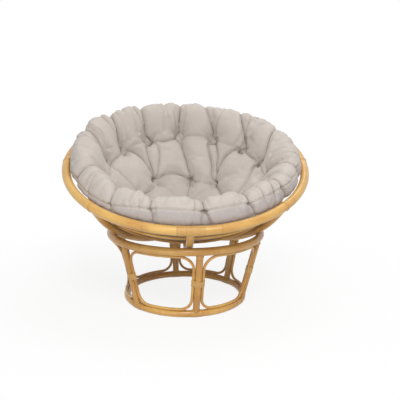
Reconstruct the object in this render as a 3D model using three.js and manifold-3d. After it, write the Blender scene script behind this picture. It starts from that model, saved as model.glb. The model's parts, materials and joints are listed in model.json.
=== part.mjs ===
// A round rattan lounge chair: a bowl that tilts on a ring stand, with a loose tufted cushion.
// Lengths are millimetres, angles are degrees, +Z is up and the front of the chair faces -Y.

import * as THREE from 'three';
import { mergeVertices } from 'three/addons/utils/BufferGeometryUtils.js';
import Module from 'manifold-3d';

const wasm = await Module();
wasm.setup();

// Clearances and the cane that binds the joints
const joint_gap = 0.3;
const cane_thickness = 1.3;

// Stand: two rings, the legs between them and a bent loop in every panel
const floor_ring_radius = 261;
const floor_ring_pole = 30;
const support_ring_radius = 333;
const support_ring_pole = 33;
const support_ring_height = 304;
const leg_count = 6;
const leg_pole = 29;
const first_leg_turn = 9;
const loop_pole = 12;
const loop_corner_radius = 55;
const leg_binding_width = 33;
const leg_binding_height = 161;
const foot_binding_width = 46;
const leg_collar_width = 9;

// Bowl: a heavy rim, ribs bent to one ball, two thin hoops inside them and a hoop at the bottom
const rim_outer_diameter = 1100;
const rim_pole = 38;
const bowl_depth = 363;
const bowl_tilt = 20.5;
const rib_count = 8;
const rib_pole = 31;
const rib_set_in = 4;
const front_rib_turn = 1.2;
const second_rib_turn = 47.2;
const hoop_pole = 12;
const upper_hoop_drop = 95;
const lower_hoop_drop = 139;
const base_hoop_radius = 122;
const rim_binding_width = 17;
const rim_joint_wrap_width = 115;
const scarf_angle = 21;

// Cushion: one thick pad pressed into the bowl, sewn down at two circles of tufts
const cushion_gap = 0.6;
const cushion_edge_gap = 3.6;
const cushion_turn = 4.8;
const outer_tuft_count = 14;
const inner_tuft_count = 7;
const outer_tuft_height = -62;
const inner_tuft_height = -151;
const cushion_centre_height = -190;
const tuft_depth = 16;
const inner_tuft_depth = 30;
const tuft_width = 46;
const inner_tuft_width = 60;

// Sections of the cushion's upper face from near its centre out to its seam, then down its side, through the middle
// of a lobe and along a pleat: heights above the rim's middle line, and shares of the cushion's reach
const lobe_heights = [-203, -184, inner_tuft_height, -106, -54, -2, 44, 76, 96, 103, 96, 81, 62];
const pleat_heights = [-206, -188, -160, -127, -94, outer_tuft_height, -16, 27, 60, 77, 78, 68, 56];
const lobe_side_heights = [42, 22, 2];
const pleat_side_heights = [38, 20, 2];
const outer_tuft_share = 0.702;
const inner_tuft_share = 0.364;
const lobe_shares = [0.118, 0.236, inner_tuft_share, 0.492, 0.6, 0.679, 0.738, 0.787, 0.836, 0.884, 0.927, 0.961, 0.98];
const pleat_shares = [0.118, 0.236, inner_tuft_share, 0.492, 0.6, outer_tuft_share, 0.756, 0.801, 0.846, 0.888, 0.927, 0.957, 0.972];
const lobe_side_shares = [0.996, 1, 0.99];
const pleat_side_shares = [0.982, 0.988, 0.98];
const cushion_under_angles = [63.7, 54.5, 48.7, 31.9, 14.1];

// How finely the round forms are cut
const pole_sides = 12;
const rib_sides = 8;
const thin_sides = 6;
const band_steps = 4;
const ring_steps = 60;
const rim_steps = 72;
const base_hoop_steps = 40;
const rib_steps = 10;
const corner_steps = 5;
const run_steps = 4;
const columns_per_tuft = 4;

// How blunt the lobes are across: the smaller, the narrower the pleats between them
const pleat_sharpness = 0.4;

const full_turn = 2 * Math.PI;
const half_turn_degrees = 180;
const radians = THREE.MathUtils.degToRad;
const up = new THREE.Vector3(0, 0, 1);

// Sizes that follow from the driving ones
const cane_outer_growth = joint_gap + cane_thickness;
const rib_radius = rib_pole / 2;
const rim_radius = (rim_outer_diameter - rim_pole) / 2;
const rim_reach = bowl_depth - rib_radius + rib_set_in;
const rim_drop = (rim_radius ** 2 - rim_reach ** 2) / (2 * rim_reach);
const rib_path_radius = bowl_depth - rib_radius + rim_drop;
const ball_radius = rib_path_radius + rib_radius;
const floor_ring_height = (floor_ring_pole / 2 + cane_outer_growth) * Math.cos(Math.PI / pole_sides);
const seat_ring_radius = support_ring_radius * Math.cos(Math.PI / ring_steps);
const seat_distance = ball_radius + joint_gap + support_ring_pole / 2;
const ball_height = support_ring_height + Math.sqrt(seat_distance ** 2 - seat_ring_radius ** 2);
const rib_low_angle = Math.asin(base_hoop_radius / rib_path_radius) + rib_pole / 4 / rib_path_radius;
const rib_high_angle = Math.atan2(rim_radius, rim_drop) - rim_pole / 4 / rib_path_radius;
const rib_step_angle = (rib_high_angle - rib_low_angle) / rib_steps;
const rib_inner_radius = (rib_path_radius - rib_radius) * Math.cos(rib_step_angle / 2);
const hoop_path_radius = rib_inner_radius - joint_gap - hoop_pole / 2;
const pad_reach = rim_radius - rim_pole / 2 - cushion_edge_gap;
const outer_tuft_radius = outer_tuft_share * pad_reach;
const inner_tuft_radius = inner_tuft_share * pad_reach;
const pad_outer_radius = hoop_path_radius - hoop_pole / 2 - cushion_gap;

// A point on a circle about the vertical axis, counted from the front towards +X
function around(radius, angle, height) {
  return new THREE.Vector3(radius * Math.sin(angle), -radius * Math.cos(angle), height);
}

// A point on a ball, at an angle from its lowest point and an angle round it
function on_ball(radius, climb, angle) {
  return around(radius * Math.sin(climb), angle, -radius * Math.cos(climb));
}

// The corners of a round pole's section
function round_section(radius, sides, phase) {
  const corner = (index) => phase + (full_turn * index) / sides;
  const at = (angle) => [radius * Math.cos(angle), radius * Math.sin(angle)];
  return Array.from({ length: sides }, (_, index) => at(corner(index)));
}

// The outline of a band stretched round a leg and the loop on each of its sides
function band_section(sink, growth) {
  const away = Math.atan2(loop_offset, sink);
  const open = Math.acos((leg_pole - loop_pole) / 2 / Math.hypot(loop_offset, sink));
  const arcs = [
    { x: 0, y: 0, pole: leg_pole, from: open - away, to: away - open },
    { x: sink, y: loop_offset, pole: loop_pole, from: away - open, to: away + open },
    { x: 0, y: 0, pole: leg_pole, from: away + open, to: full_turn - away - open },
    { x: sink, y: -loop_offset, pole: loop_pole, from: -away - open, to: open - away },
  ];
  return arcs.flatMap(({ x, y, pole, from, to }) => {
    const radius = pole / 2 + growth;
    const at = (angle) => [x + radius * Math.cos(angle), y + radius * Math.sin(angle)];
    return Array.from({ length: band_steps + 1 }, (_, step) => at(from + ((to - from) * step) / band_steps));
  });
}

// Turns a closed surface right side out and gives it normals
function faced_out(positions, triangles) {
  const corner = (index) => new THREE.Vector3().fromArray(positions, 3 * index);
  const volume = (a, b, c) => corner(a).dot(corner(b).cross(corner(c)));
  const total = triangles.reduce((sum, [a, b, c]) => sum + volume(a, b, c), 0);
  const facing = total < 0 ? triangles.map(([a, b, c]) => [a, c, b]) : triangles;
  const geometry = new THREE.BufferGeometry();
  geometry.setAttribute('position', new THREE.Float32BufferAttribute(positions, 3));
  geometry.setIndex(facing.flat());
  geometry.computeVertexNormals();
  return geometry;
}

// Joins a section placed at every station into a tube, open through its middle if it has a hole
function sweep(stations, section, { hole = null, closed = false } = {}) {
  const positions = [];
  const triangles = [];
  const count = section.length;
  const spans = closed ? stations.length : stations.length - 1;
  const layers = hole ? [section, hole] : [section];
  layers.forEach((outline, layer) => {
    const first = positions.length / 3;
    for (const { at, out, over } of stations) {
      for (const [x, y] of outline) {
        positions.push(...at.clone().addScaledVector(out, x).addScaledVector(over, y).toArray());
      }
    }
    for (let span = 0; span < spans; span += 1) {
      const near = first + span * count;
      const far = first + ((span + 1) % stations.length) * count;
      for (let side = 0; side < count; side += 1) {
        const next = (side + 1) % count;
        const strip = [[near + side, near + next, far + next], [near + side, far + next, far + side]];
        triangles.push(...strip.map(([a, b, c]) => (layer === 0 ? [a, b, c] : [a, c, b])));
      }
    }
  });
  if (!closed) {
    const last = (stations.length - 1) * count;
    const inner = stations.length * count;
    for (const [start, flip] of [[0, true], [last, false]]) {
      const face = hole ? open_face(start, start + inner, count) : fan_face(start, count);
      triangles.push(...face.map(([a, b, c]) => (flip ? [a, c, b] : [a, b, c])));
    }
  }
  return faced_out(positions, triangles);
}

// The flat end of a solid section
function fan_face(start, count) {
  return Array.from({ length: count - 2 }, (_, side) => [start, start + side + 1, start + side + 2]);
}

// The flat end between a section and its hole
function open_face(outer, inner, count) {
  const faces = [];
  for (let side = 0; side < count; side += 1) {
    const next = (side + 1) % count;
    faces.push([outer + side, outer + next, inner + next], [outer + side, inner + next, inner + side]);
  }
  return faces;
}

// Booleans
function to_solid(geometry) {
  const bare = new THREE.BufferGeometry();
  bare.setAttribute('position', geometry.getAttribute('position'));
  bare.setIndex(geometry.getIndex());
  const welded = mergeVertices(bare);
  const vertProperties = new Float32Array(welded.getAttribute('position').array);
  const triVerts = new Uint32Array(welded.getIndex().array);
  return new wasm.Manifold(new wasm.Mesh({ numProp: 3, vertProperties, triVerts }));
}

function cut_away(geometry, cutters) {
  const left = cutters.reduce((body, cutter) => body.subtract(cutter), to_solid(geometry));
  const { vertProperties, triVerts } = left.getMesh();
  const cut = new THREE.BufferGeometry();
  cut.setAttribute('position', new THREE.BufferAttribute(vertProperties, 3));
  cut.setIndex(new THREE.BufferAttribute(triVerts, 1));
  cut.computeVertexNormals();
  return cut;
}

// Pole rings: each is a set of sizes that its solid, its cutters and its bindings share
const floor_ring = {
  radius: floor_ring_radius,
  height: floor_ring_height,
  pole: floor_ring_pole,
  sides: pole_sides,
  steps: ring_steps,
  start: radians(first_leg_turn),
  phase: Math.PI / pole_sides - Math.PI / 2,
};

const support_ring = {
  radius: support_ring_radius,
  height: support_ring_height,
  pole: support_ring_pole,
  sides: pole_sides,
  steps: ring_steps,
  start: radians(first_leg_turn),
  phase: Math.atan2(ball_height - support_ring_height, -support_ring_radius),
};

const rim = {
  radius: rim_radius,
  height: -rim_drop,
  pole: rim_pole,
  sides: pole_sides,
  steps: rim_steps,
  start: radians(front_rib_turn),
  phase: 0,
};

const base_hoop = {
  radius: base_hoop_radius,
  height: -Math.sqrt(rib_path_radius ** 2 - base_hoop_radius ** 2),
  pole: rib_pole,
  sides: rib_sides,
  steps: base_hoop_steps,
  start: radians(front_rib_turn),
  phase: 0,
};

function thin_hoop(drop) {
  const height = -rim_drop - drop;
  const radius = Math.sqrt(hoop_path_radius ** 2 - height ** 2);
  const phase = Math.atan2(height, radius);
  const start = radians(front_rib_turn);
  return { radius, height, pole: hoop_pole, sides: thin_sides, steps: rim_steps, start, phase };
}

// A ring pole bent to a full circle, grown all over when it serves as a cutter
function ring_geometry(ring, growth = 0) {
  const section = round_section(ring.pole / 2 + growth, ring.sides, ring.phase);
  const profile = section.map(([x, y]) => new THREE.Vector2(ring.radius + x, ring.height + y));
  const revolved = new THREE.LatheGeometry([...profile, profile[0].clone()], ring.steps, ring.start);
  const bare = new THREE.BufferGeometry();
  bare.setAttribute('position', revolved.rotateX(Math.PI / 2).getAttribute('position'));
  bare.setIndex(revolved.getIndex());
  const welded = mergeVertices(bare);
  const order = Array.from(welded.getIndex().array);
  const triangles = Array.from({ length: order.length / 3 }, (_, face) => order.slice(3 * face, 3 * face + 3));
  return faced_out(Array.from(welded.getAttribute('position').array), triangles);
}

// A station on the flat between two of a ring's corners, so that a binding follows the same flats
function ring_station(ring, angle) {
  const step = full_turn / ring.steps;
  const index = Math.floor((angle - ring.start) / step);
  const share = (angle - ring.start) / step - index;
  const near = ring.start + index * step;
  const mix = (radius, height) =>
    around(radius, near, height).lerp(around(radius, near + step, height), share);
  return { at: mix(ring.radius, ring.height), out: mix(1, 0), over: up };
}

function ring_slice_stations(ring, middle, width) {
  const step = full_turn / ring.steps;
  const reach = width / 2 / ring.radius;
  const first = Math.floor((middle - reach - ring.start) / step) + 1;
  const last = Math.ceil((middle + reach - ring.start) / step) - 1;
  const corners = Array.from({ length: last - first + 1 }, (_, index) => ring.start + (first + index) * step);
  return [middle - reach, ...corners, middle + reach].map((angle) => ring_station(ring, angle));
}

// Cane wound round a stretch of a ring
function ring_binding(ring, middle, width) {
  const section = (growth) => round_section(ring.pole / 2 + growth, ring.sides, ring.phase);
  const stations = ring_slice_stations(ring, middle, width);
  return sweep(stations, section(cane_outer_growth), { hole: section(joint_gap) });
}

// The room that such a binding needs in what lies against it
function ring_binding_room(ring, middle, width) {
  const section = round_section(ring.pole / 2 + cane_outer_growth + joint_gap, ring.sides, ring.phase);
  return to_solid(sweep(ring_slice_stations(ring, middle, width + 2 * joint_gap), section));
}

// Materials
const rattan_colour = 0xd8ac60;
const thin_rattan_colour = 0xd2a75c;
const cane_colour = 0xc9994f;
const cloth_colour = 0xcbc3ba;

function finish(color, roughness) {
  return new THREE.MeshStandardMaterial({ color, roughness, metalness: 0 });
}

function add_piece(group, name, geometry, color, roughness) {
  const piece = new THREE.Mesh(geometry, finish(color, roughness));
  piece.name = name;
  group.add(piece);
}

const rattan_roughness = 0.42;
const cane_roughness = 0.5;
const cloth_roughness = 0.95;

const add_rattan = (group, name, geometry) =>
  add_piece(group, name, geometry, rattan_colour, rattan_roughness);
const add_thin_rattan = (group, name, geometry) =>
  add_piece(group, name, geometry, thin_rattan_colour, rattan_roughness);
const add_cane = (group, name, geometry) => add_piece(group, name, geometry, cane_colour, cane_roughness);

// Stand
const leg_rise = support_ring_height - floor_ring_height;
const leg_spread = support_ring_radius - floor_ring_radius;
const leg_length = Math.hypot(leg_rise, leg_spread);
const leg_step = full_turn / leg_count;
const loop_offset = leg_pole / 2 + joint_gap + loop_pole / 2;

const leg_angle = (index) => radians(first_leg_turn) + index * leg_step;
const cone_radius = (along) => floor_ring_radius + (leg_spread * along) / leg_length;
const cone_height = (along) => floor_ring_height + (leg_rise * along) / leg_length;

// A station on the cone that the legs lie on; `along` runs up a leg from the floor ring's centre
function cone_station(along, angle) {
  const at = around(cone_radius(along), angle, cone_height(along));
  const out = around(leg_rise / leg_length, angle, -leg_spread / leg_length);
  return { at, out, over: around(1, angle + Math.PI / 2, 0) };
}

function leg_geometry(angle, cutters) {
  const stations = [cone_station(0, angle), cone_station(leg_length, angle)];
  return cut_away(sweep(stations, round_section(leg_pole / 2, pole_sides, 0)), cutters);
}

// Where the middle of a loop's side lies across the panel, beside the leg
function loop_side(along) {
  const radius = cone_radius(along);
  return radius * (leg_step / 2 - Math.asin(loop_offset / radius));
}

// Rounds a corner of an outline with an arc, and gives the arc's points in order
function rounded_corner(before, corner, after, radius) {
  const to_before = before.clone().sub(corner).normalize();
  const to_after = after.clone().sub(corner).normalize();
  const half = Math.acos(to_before.dot(to_after)) / 2;
  const centre_way = to_before.clone().add(to_after).normalize();
  const centre = corner.clone().addScaledVector(centre_way, radius / Math.sin(half));
  const start = corner.clone().addScaledVector(to_before, radius / Math.tan(half)).sub(centre);
  const turn = -Math.sign(to_before.cross(to_after)) * (Math.PI - 2 * half);
  const origin = new THREE.Vector2(0, 0);
  const point = (step) => start.clone().rotateAround(origin, (turn * step) / corner_steps).add(centre);
  return Array.from({ length: corner_steps + 1 }, (_, step) => point(step));
}

function points_between(from, to, steps) {
  return Array.from({ length: steps - 1 }, (_, step) => from.clone().lerp(to, (step + 1) / steps));
}

// A thin pole bent to a round-cornered frame that fills the panel between two legs
function panel_loop_geometry(middle_angle) {
  const low = floor_ring_pole / 2 + joint_gap + loop_pole / 2;
  const high = leg_length - support_ring_pole / 2 - joint_gap - loop_pole / 2;
  const corners = [
    new THREE.Vector2(-loop_side(low), low),
    new THREE.Vector2(loop_side(low), low),
    new THREE.Vector2(loop_side(high), high),
    new THREE.Vector2(-loop_side(high), high),
  ];
  const arcs = corners.map((corner, index) => {
    const before = corners[(index + 3) % 4];
    const after = corners[(index + 1) % 4];
    return rounded_corner(before, corner, after, loop_corner_radius);
  });
  const outline = arcs.flatMap((arc, index) => {
    const next = arcs[(index + 1) % 4];
    const runs_across = index % 2 === 0;
    return runs_across ? [...arc, ...points_between(arc[arc.length - 1], next[0], run_steps)] : arc;
  });
  const stations = outline.map((point, index) => {
    const angle = middle_angle + point.x / cone_radius(point.y);
    const { at, out, over } = cone_station(point.y, angle);
    const before = outline[(index + outline.length - 1) % outline.length];
    const after = outline[(index + 1) % outline.length];
    const way = after.clone().sub(before).normalize();
    const climb = new THREE.Vector3().crossVectors(out, over).normalize();
    const across = over.clone().multiplyScalar(way.y).addScaledVector(climb, -way.x);
    return { at, out, over: across };
  });
  return sweep(stations, round_section(loop_pole / 2, thin_sides, Math.PI / thin_sides), { closed: true });
}

// Cane wound round a leg and the loops on both of its sides
function leg_binding_geometry(angle) {
  const along = ((leg_binding_height - floor_ring_height) * leg_length) / leg_rise;
  const radius = cone_radius(along);
  const sink = Math.sqrt(radius ** 2 - loop_offset ** 2) - radius;
  const ends = [-leg_binding_width / 2, leg_binding_width / 2];
  const stations = ends.map((end) => cone_station(along + end, angle));
  return sweep(stations, band_section(sink, cane_outer_growth), { hole: band_section(sink, joint_gap) });
}

// Cane wound round the top of a leg, close under the support ring
function leg_collar_geometry(angle) {
  const top = leg_length - support_ring_pole / 2 - joint_gap;
  const stations = [cone_station(top - leg_collar_width, angle), cone_station(top, angle)];
  const section = (growth) => round_section(leg_pole / 2 + growth, pole_sides, 0);
  return sweep(stations, section(cane_outer_growth), { hole: section(joint_gap) });
}

const stand = new THREE.Group();
add_rattan(stand, 'floor_ring', ring_geometry(floor_ring));
add_rattan(stand, 'support_ring', ring_geometry(support_ring));

const leg_cutters = [
  to_solid(ring_geometry(floor_ring, cane_outer_growth + joint_gap)),
  to_solid(ring_geometry(support_ring, joint_gap)),
];

for (let index = 0; index < leg_count; index += 1) {
  const angle = leg_angle(index);
  const number = index + 1;
  add_rattan(stand, `leg_${number}`, leg_geometry(angle, leg_cutters));
  add_thin_rattan(stand, `panel_loop_${number}`, panel_loop_geometry(angle + leg_step / 2));
  add_cane(stand, `leg_binding_${number}`, leg_binding_geometry(angle));
  add_cane(stand, `foot_binding_${number}`, ring_binding(floor_ring, angle, foot_binding_width));
  add_cane(stand, `leg_collar_${number}`, leg_collar_geometry(angle));
}

// Bowl, built about the ball's centre with its rim level, then tilted forwards
const rib_angles = Array.from({ length: rib_count }, (_, index) => {
  const from_front = Math.min(index, rib_count - index);
  const side = index <= rib_count / 2 ? 1 : -1;
  const next_turn = (half_turn_degrees - second_rib_turn) / (rib_count / 2 - 1);
  const turn = from_front === 0 ? 0 : second_rib_turn + (from_front - 1) * next_turn;
  return radians(front_rib_turn + side * turn);
});

// A rib bends along the ball and is scooped out to sit on the rim and on the bottom hoop
function rib_geometry(angle, cutters) {
  const stations = Array.from({ length: rib_steps + 1 }, (_, step) => {
    const climb = rib_low_angle + step * rib_step_angle;
    const at = on_ball(rib_path_radius, climb, angle);
    return { at, out: on_ball(1, climb, angle), over: around(1, angle + Math.PI / 2, 0) };
  });
  return cut_away(sweep(stations, round_section(rib_radius, rib_sides, 0)), cutters);
}

// The rim's two ends overlap in a long slanted joint under the wide front wrap
function rim_geometry() {
  const slant = radians(scarf_angle);
  const cut_length = (2 * rim_pole) / Math.sin(slant);
  const knife = new THREE.BoxGeometry(cut_length, joint_gap, 2 * rim_pole);
  const middle = around(rim_radius, radians(front_rib_turn), -rim_drop);
  knife.rotateZ(slant + radians(front_rib_turn)).translate(middle.x, middle.y, middle.z);
  return cut_away(ring_geometry(rim), [to_solid(knife)]);
}

const bowl = new THREE.Group();
add_rattan(bowl, 'rim', rim_geometry());
add_cane(bowl, 'rim_joint_wrap', ring_binding(rim, rib_angles[0], rim_joint_wrap_width));
add_thin_rattan(bowl, 'upper_hoop', ring_geometry(thin_hoop(upper_hoop_drop)));
add_thin_rattan(bowl, 'lower_hoop', ring_geometry(thin_hoop(lower_hoop_drop)));
add_rattan(bowl, 'bowl_base_hoop', ring_geometry(base_hoop));

const rim_room = to_solid(ring_geometry(rim, joint_gap));
const base_hoop_room = to_solid(ring_geometry(base_hoop, joint_gap));

rib_angles.forEach((angle, index) => {
  const width = index === 0 ? rim_joint_wrap_width : rim_binding_width;
  const cutters = [rim_room, base_hoop_room, ring_binding_room(rim, angle, width)];
  add_rattan(bowl, `rib_${index + 1}`, rib_geometry(angle, cutters));
  if (index > 0) {
    add_cane(bowl, `rim_binding_${index}`, ring_binding(rim, angle, width));
  }
});

// Cushion
const columns = outer_tuft_count * columns_per_tuft;

// How deep a place on the upper face is pulled in by the nearest tuft of a circle
function tuft_dip(place, angle, tuft_radius, tuft_height, count, start, depth, width) {
  const step = full_turn / count;
  const nearest = start + Math.round((angle - start) / step) * step;
  const tuft = around(tuft_radius, nearest, tuft_height - rim_drop);
  return depth * Math.exp(-((place.distanceTo(tuft) / width) ** 2));
}

// 0 along the pleat that runs out from an outer tuft, 1 halfway to the next
function puff(angle) {
  const share = (angle - radians(cushion_turn)) / (full_turn / outer_tuft_count);
  return Math.abs(Math.sin(Math.PI * share)) ** pleat_sharpness;
}

function between_sections(lobe, pleat, angle) {
  const share = THREE.MathUtils.lerp(pleat.share, lobe.share, puff(angle));
  const height = THREE.MathUtils.lerp(pleat.height, lobe.height, puff(angle));
  return around(share * pad_reach, angle, height - rim_drop);
}

function upper_corner(index, angle) {
  const lobe = { share: lobe_shares[index], height: lobe_heights[index] };
  const pleat = { share: pleat_shares[index], height: pleat_heights[index] };
  const place = between_sections(lobe, pleat, angle);
  const turn = radians(cushion_turn);
  const half_step = full_turn / outer_tuft_count / 2;
  const outer = tuft_dip(
    place, angle, outer_tuft_radius, outer_tuft_height, outer_tuft_count, turn, tuft_depth, tuft_width,
  );
  const inner = tuft_dip(
    place, angle, inner_tuft_radius, inner_tuft_height, inner_tuft_count, turn + half_step,
    inner_tuft_depth, inner_tuft_width,
  );
  return place.setLength(place.length() + Math.max(outer, inner));
}

function side_corner(index, angle) {
  const lobe = { share: lobe_side_shares[index], height: lobe_side_heights[index] };
  const pleat = { share: pleat_side_shares[index], height: pleat_side_heights[index] };
  return between_sections(lobe, pleat, angle);
}

function cushion_rings() {
  const angles = Array.from({ length: columns }, (_, column) => radians(cushion_turn) + (full_turn * column) / columns);
  const upper = lobe_heights.map((_, index) => angles.map((angle) => upper_corner(index, angle)));
  const side = lobe_side_heights.map((_, index) => angles.map((angle) => side_corner(index, angle)));
  const under = cushion_under_angles.map((climb) => (
    angles.map((angle) => on_ball(pad_outer_radius, radians(climb), angle))
  ));
  return [...upper, ...side, ...under];
}

function cushion_geometry() {
  const rings = cushion_rings();
  const top = new THREE.Vector3(0, 0, cushion_centre_height - rim_drop);
  const bottom = new THREE.Vector3(0, 0, -pad_outer_radius);
  const positions = [top, ...rings.flat(), bottom].flatMap((place) => place.toArray());
  const triangles = [];
  const last = rings.length * columns + 1;
  const corner = (ring, column) => 1 + ring * columns + (column % columns);
  for (let column = 0; column < columns; column += 1) {
    triangles.push([0, corner(0, column), corner(0, column + 1)]);
    for (let ring = 0; ring < rings.length - 1; ring += 1) {
      const [a, b] = [corner(ring, column), corner(ring, column + 1)];
      const [c, d] = [corner(ring + 1, column + 1), corner(ring + 1, column)];
      triangles.push([a, c, b], [a, d, c]);
    }
    triangles.push([last, corner(rings.length - 1, column + 1), corner(rings.length - 1, column)]);
  }
  return faced_out(positions, triangles);
}

add_piece(bowl, 'cushion', cushion_geometry(), cloth_colour, cloth_roughness);

bowl.position.set(0, 0, ball_height);
bowl.rotation.x = radians(bowl_tilt);

// The chair stands with the middle of its footprint at the origin
const chair = new THREE.Group();
chair.add(stand, bowl);
chair.updateMatrixWorld(true);
const reach = new THREE.Box3().setFromObject(chair, true);
const middle = reach.getCenter(new THREE.Vector3());
chair.position.set(-middle.x, -middle.y, -reach.min.z);

const model = new THREE.Group();
model.add(chair);
model.updateMatrixWorld(true);

export default model;
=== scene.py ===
# A round rattan lounge chair: wound and bent poles on a ring stand, and a loose tufted cushion.
# Lengths are metres, +Z is up and the front of the chair faces -Y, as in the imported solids.
import json
import math
import random

import bpy
import numpy as np
from mathutils import Matrix, Vector
from mathutils.bvhtree import BVHTree


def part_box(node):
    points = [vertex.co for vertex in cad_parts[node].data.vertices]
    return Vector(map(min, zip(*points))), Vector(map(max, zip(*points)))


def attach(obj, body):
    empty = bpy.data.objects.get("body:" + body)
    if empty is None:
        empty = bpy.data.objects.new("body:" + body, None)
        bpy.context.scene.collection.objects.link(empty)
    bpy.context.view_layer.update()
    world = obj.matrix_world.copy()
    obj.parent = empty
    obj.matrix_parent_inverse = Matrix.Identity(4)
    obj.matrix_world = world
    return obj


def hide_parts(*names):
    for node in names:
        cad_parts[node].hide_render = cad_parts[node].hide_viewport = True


bl_info = {
    "name": "Rattan Bowl Chair",
    "version": (1, 0, 0),
    "blender": (4, 5, 0),
    "location": "View3D > Sidebar > Bowl Chair",
    "description": "Builds the bent poles, cane windings and tufted cushion of a round lounge chair",
    "category": "Add Mesh",
}

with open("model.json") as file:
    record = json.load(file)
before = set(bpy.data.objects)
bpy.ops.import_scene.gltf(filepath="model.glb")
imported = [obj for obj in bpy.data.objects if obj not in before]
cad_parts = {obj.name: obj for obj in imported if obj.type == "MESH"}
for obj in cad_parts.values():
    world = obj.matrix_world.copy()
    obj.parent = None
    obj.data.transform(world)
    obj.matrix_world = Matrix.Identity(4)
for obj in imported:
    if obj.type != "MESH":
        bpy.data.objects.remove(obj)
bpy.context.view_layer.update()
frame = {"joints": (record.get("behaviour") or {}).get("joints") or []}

full_turn = 2 * math.pi
soft_edge = math.radians(50)
joints = {joint["name"]: joint for joint in frame["joints"]}
ball_centre = Vector(joints["bowl_tilt"]["pos_m"])
bowl_axis = Vector(joints["cushion_lift"]["axis"])
bowl_tilt = math.atan2(-bowl_axis.y, bowl_axis.z)
stand_place = Matrix.Translation((ball_centre.x, ball_centre.y, 0))
bowl_place = Matrix.Translation(ball_centre) @ Matrix.Rotation(bowl_tilt, 4, "X")


# Kinds of settings


def metres(name, description, default):
    return bpy.props.FloatProperty(name=name, description=description, default=default, unit="LENGTH")


def radians(name, description, default):
    return bpy.props.FloatProperty(name=name, description=description, default=default, unit="ROTATION")


def watts(name, description, default):
    return bpy.props.FloatProperty(name=name, description=description, default=default, unit="POWER")


def colour(name, description, default):
    return bpy.props.FloatVectorProperty(name=name, description=description, default=default, size=3, subtype="COLOR")


class PoleSettings(bpy.types.PropertyGroup):
    """Sizes of the stand and the bowl"""

    floor_ring_radius: metres("Floor Ring", "Radius of the floor ring's middle line", 0.261)
    floor_ring_pole: metres("Floor Ring Pole", "Thickness of the floor ring", 0.030)
    support_ring_radius: metres("Support Ring", "Radius of the support ring's middle line", 0.333)
    support_ring_height: metres("Support Height", "Height of the support ring's middle line", 0.304)
    support_ring_pole: metres("Support Pole", "Thickness of the support ring", 0.033)
    leg_count: bpy.props.IntProperty(name="Legs", description="How many legs the stand has", default=6)
    leg_pole: metres("Leg Pole", "Thickness of a leg", 0.029)
    first_leg_turn: radians("First Leg", "Angle from the front to the first leg", math.radians(9))
    loop_pole: metres("Loop Cane", "Thickness of the bent loops", 0.012)
    loop_corner_radius: metres("Loop Corner", "Radius of the loops' corners", 0.055)
    rim_radius: metres("Rim", "Radius of the rim's middle line", 0.531)
    rim_pole: metres("Rim Pole", "Thickness of the rim", 0.038)
    bowl_depth: metres("Bowl Depth", "From the rim's middle to the bowl's lowest point", 0.363)
    rib_count: bpy.props.IntProperty(name="Ribs", description="How many ribs the bowl has", default=8)
    rib_pole: metres("Rib Pole", "Thickness of a rib", 0.031)
    rib_set_in: metres("Rib Set-in", "How far the ribs are let into the rim", 0.004)
    front_rib_turn: radians("Front Rib", "Angle from the front to the first rib", math.radians(1.2))
    front_rib_spacing: radians(
        "Front Spacing", "Angle between the front rib and the next on each side", math.radians(47.2)
    )
    hoop_pole: metres("Hoop Cane", "Thickness of the two thin hoops", 0.012)
    upper_hoop_drop: metres("Upper Hoop", "How far the upper hoop lies under the rim", 0.095)
    lower_hoop_drop: metres("Lower Hoop", "How far the lower hoop lies under the rim", 0.139)
    base_hoop_radius: metres("Base Hoop", "Radius of the hoop at the bowl's bottom", 0.122)
    fit_gap: metres("Fit", "Clearance at a scooped joint", 0.0003)


class RattanSettings(bpy.types.PropertyGroup):
    """How the skin of the poles looks"""

    honey: colour("Honey", "Colour of pale skin", (0.69, 0.415, 0.108))
    amber: colour("Amber", "Colour of the warmer streaks", (0.50, 0.240, 0.048))
    knot: colour("Knot", "Colour of the growth rings", (0.24, 0.11, 0.03))
    knot_spacing: metres("Knot Spacing", "Usual distance between growth rings", 0.29)
    knot_swell: metres("Knot Swell", "How far a growth ring stands out", 0.0005)
    roughness: bpy.props.FloatProperty(
        name="Roughness", description="Roughness of the lacquered skin", default=0.36, subtype="FACTOR"
    )


class CaneSettings(bpy.types.PropertyGroup):
    """The flat cane that binds the joints"""

    width: metres("Strip Width", "Width of the flat cane", 0.0054)
    thickness: metres("Strip Thickness", "Thickness of the flat cane", 0.0013)
    strip: colour("Cane", "Colour of the flat cane", (0.66, 0.385, 0.105))
    # Groove is painted shade between two turns of cane, and it also darkens some turns at random
    groove: colour("Groove", "Colour between two turns", (0.20, 0.085, 0.020))
    rim_joint_width: metres("Rim Joint", "Width of the winding over the rim's joint", 0.115)
    rim_width: metres("Rim Windings", "Width of the windings where ribs meet the rim", 0.017)
    foot_width: metres("Foot Windings", "Width of the windings on the floor ring", 0.046)
    leg_width: metres("Leg Windings", "Width of the windings halfway up the legs", 0.033)
    leg_height: metres("Leg Winding Height", "Height of the windings on the legs", 0.161)
    collar_width: metres("Collars", "Width of the winding at a leg's top", 0.009)


class StageSettings(bpy.types.PropertyGroup):
    """Floor, lamps and camera"""

    floor_size: metres("Floor", "Side of the floor", 14.0)
    ambient: bpy.props.FloatProperty(name="Ambient", description="Strength of the light all round", default=0.44)
    key_power: watts("Key", "Power of the main lamp", 76.0)
    top_power: watts("Top", "Power of the overhead lamp", 28.0)
    fill_power: watts("Fill", "Power of the side lamp", 13.0)
    eye: bpy.props.FloatVectorProperty(
        name="Eye", description="Where the camera stands", default=(-0.0552, -2.7865, 1.0105), size=3, unit="LENGTH"
    )
    yaw: radians("Yaw", "How far the camera turns towards +X", 0.0433)
    pitch: radians("Pitch", "How far the camera looks down", 0.2053)
    roll: radians("Roll", "How far the camera leans", 0.01535)
    lens: bpy.props.FloatProperty(name="Lens", description="Focal length in millimetres", default=56.09)


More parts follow.
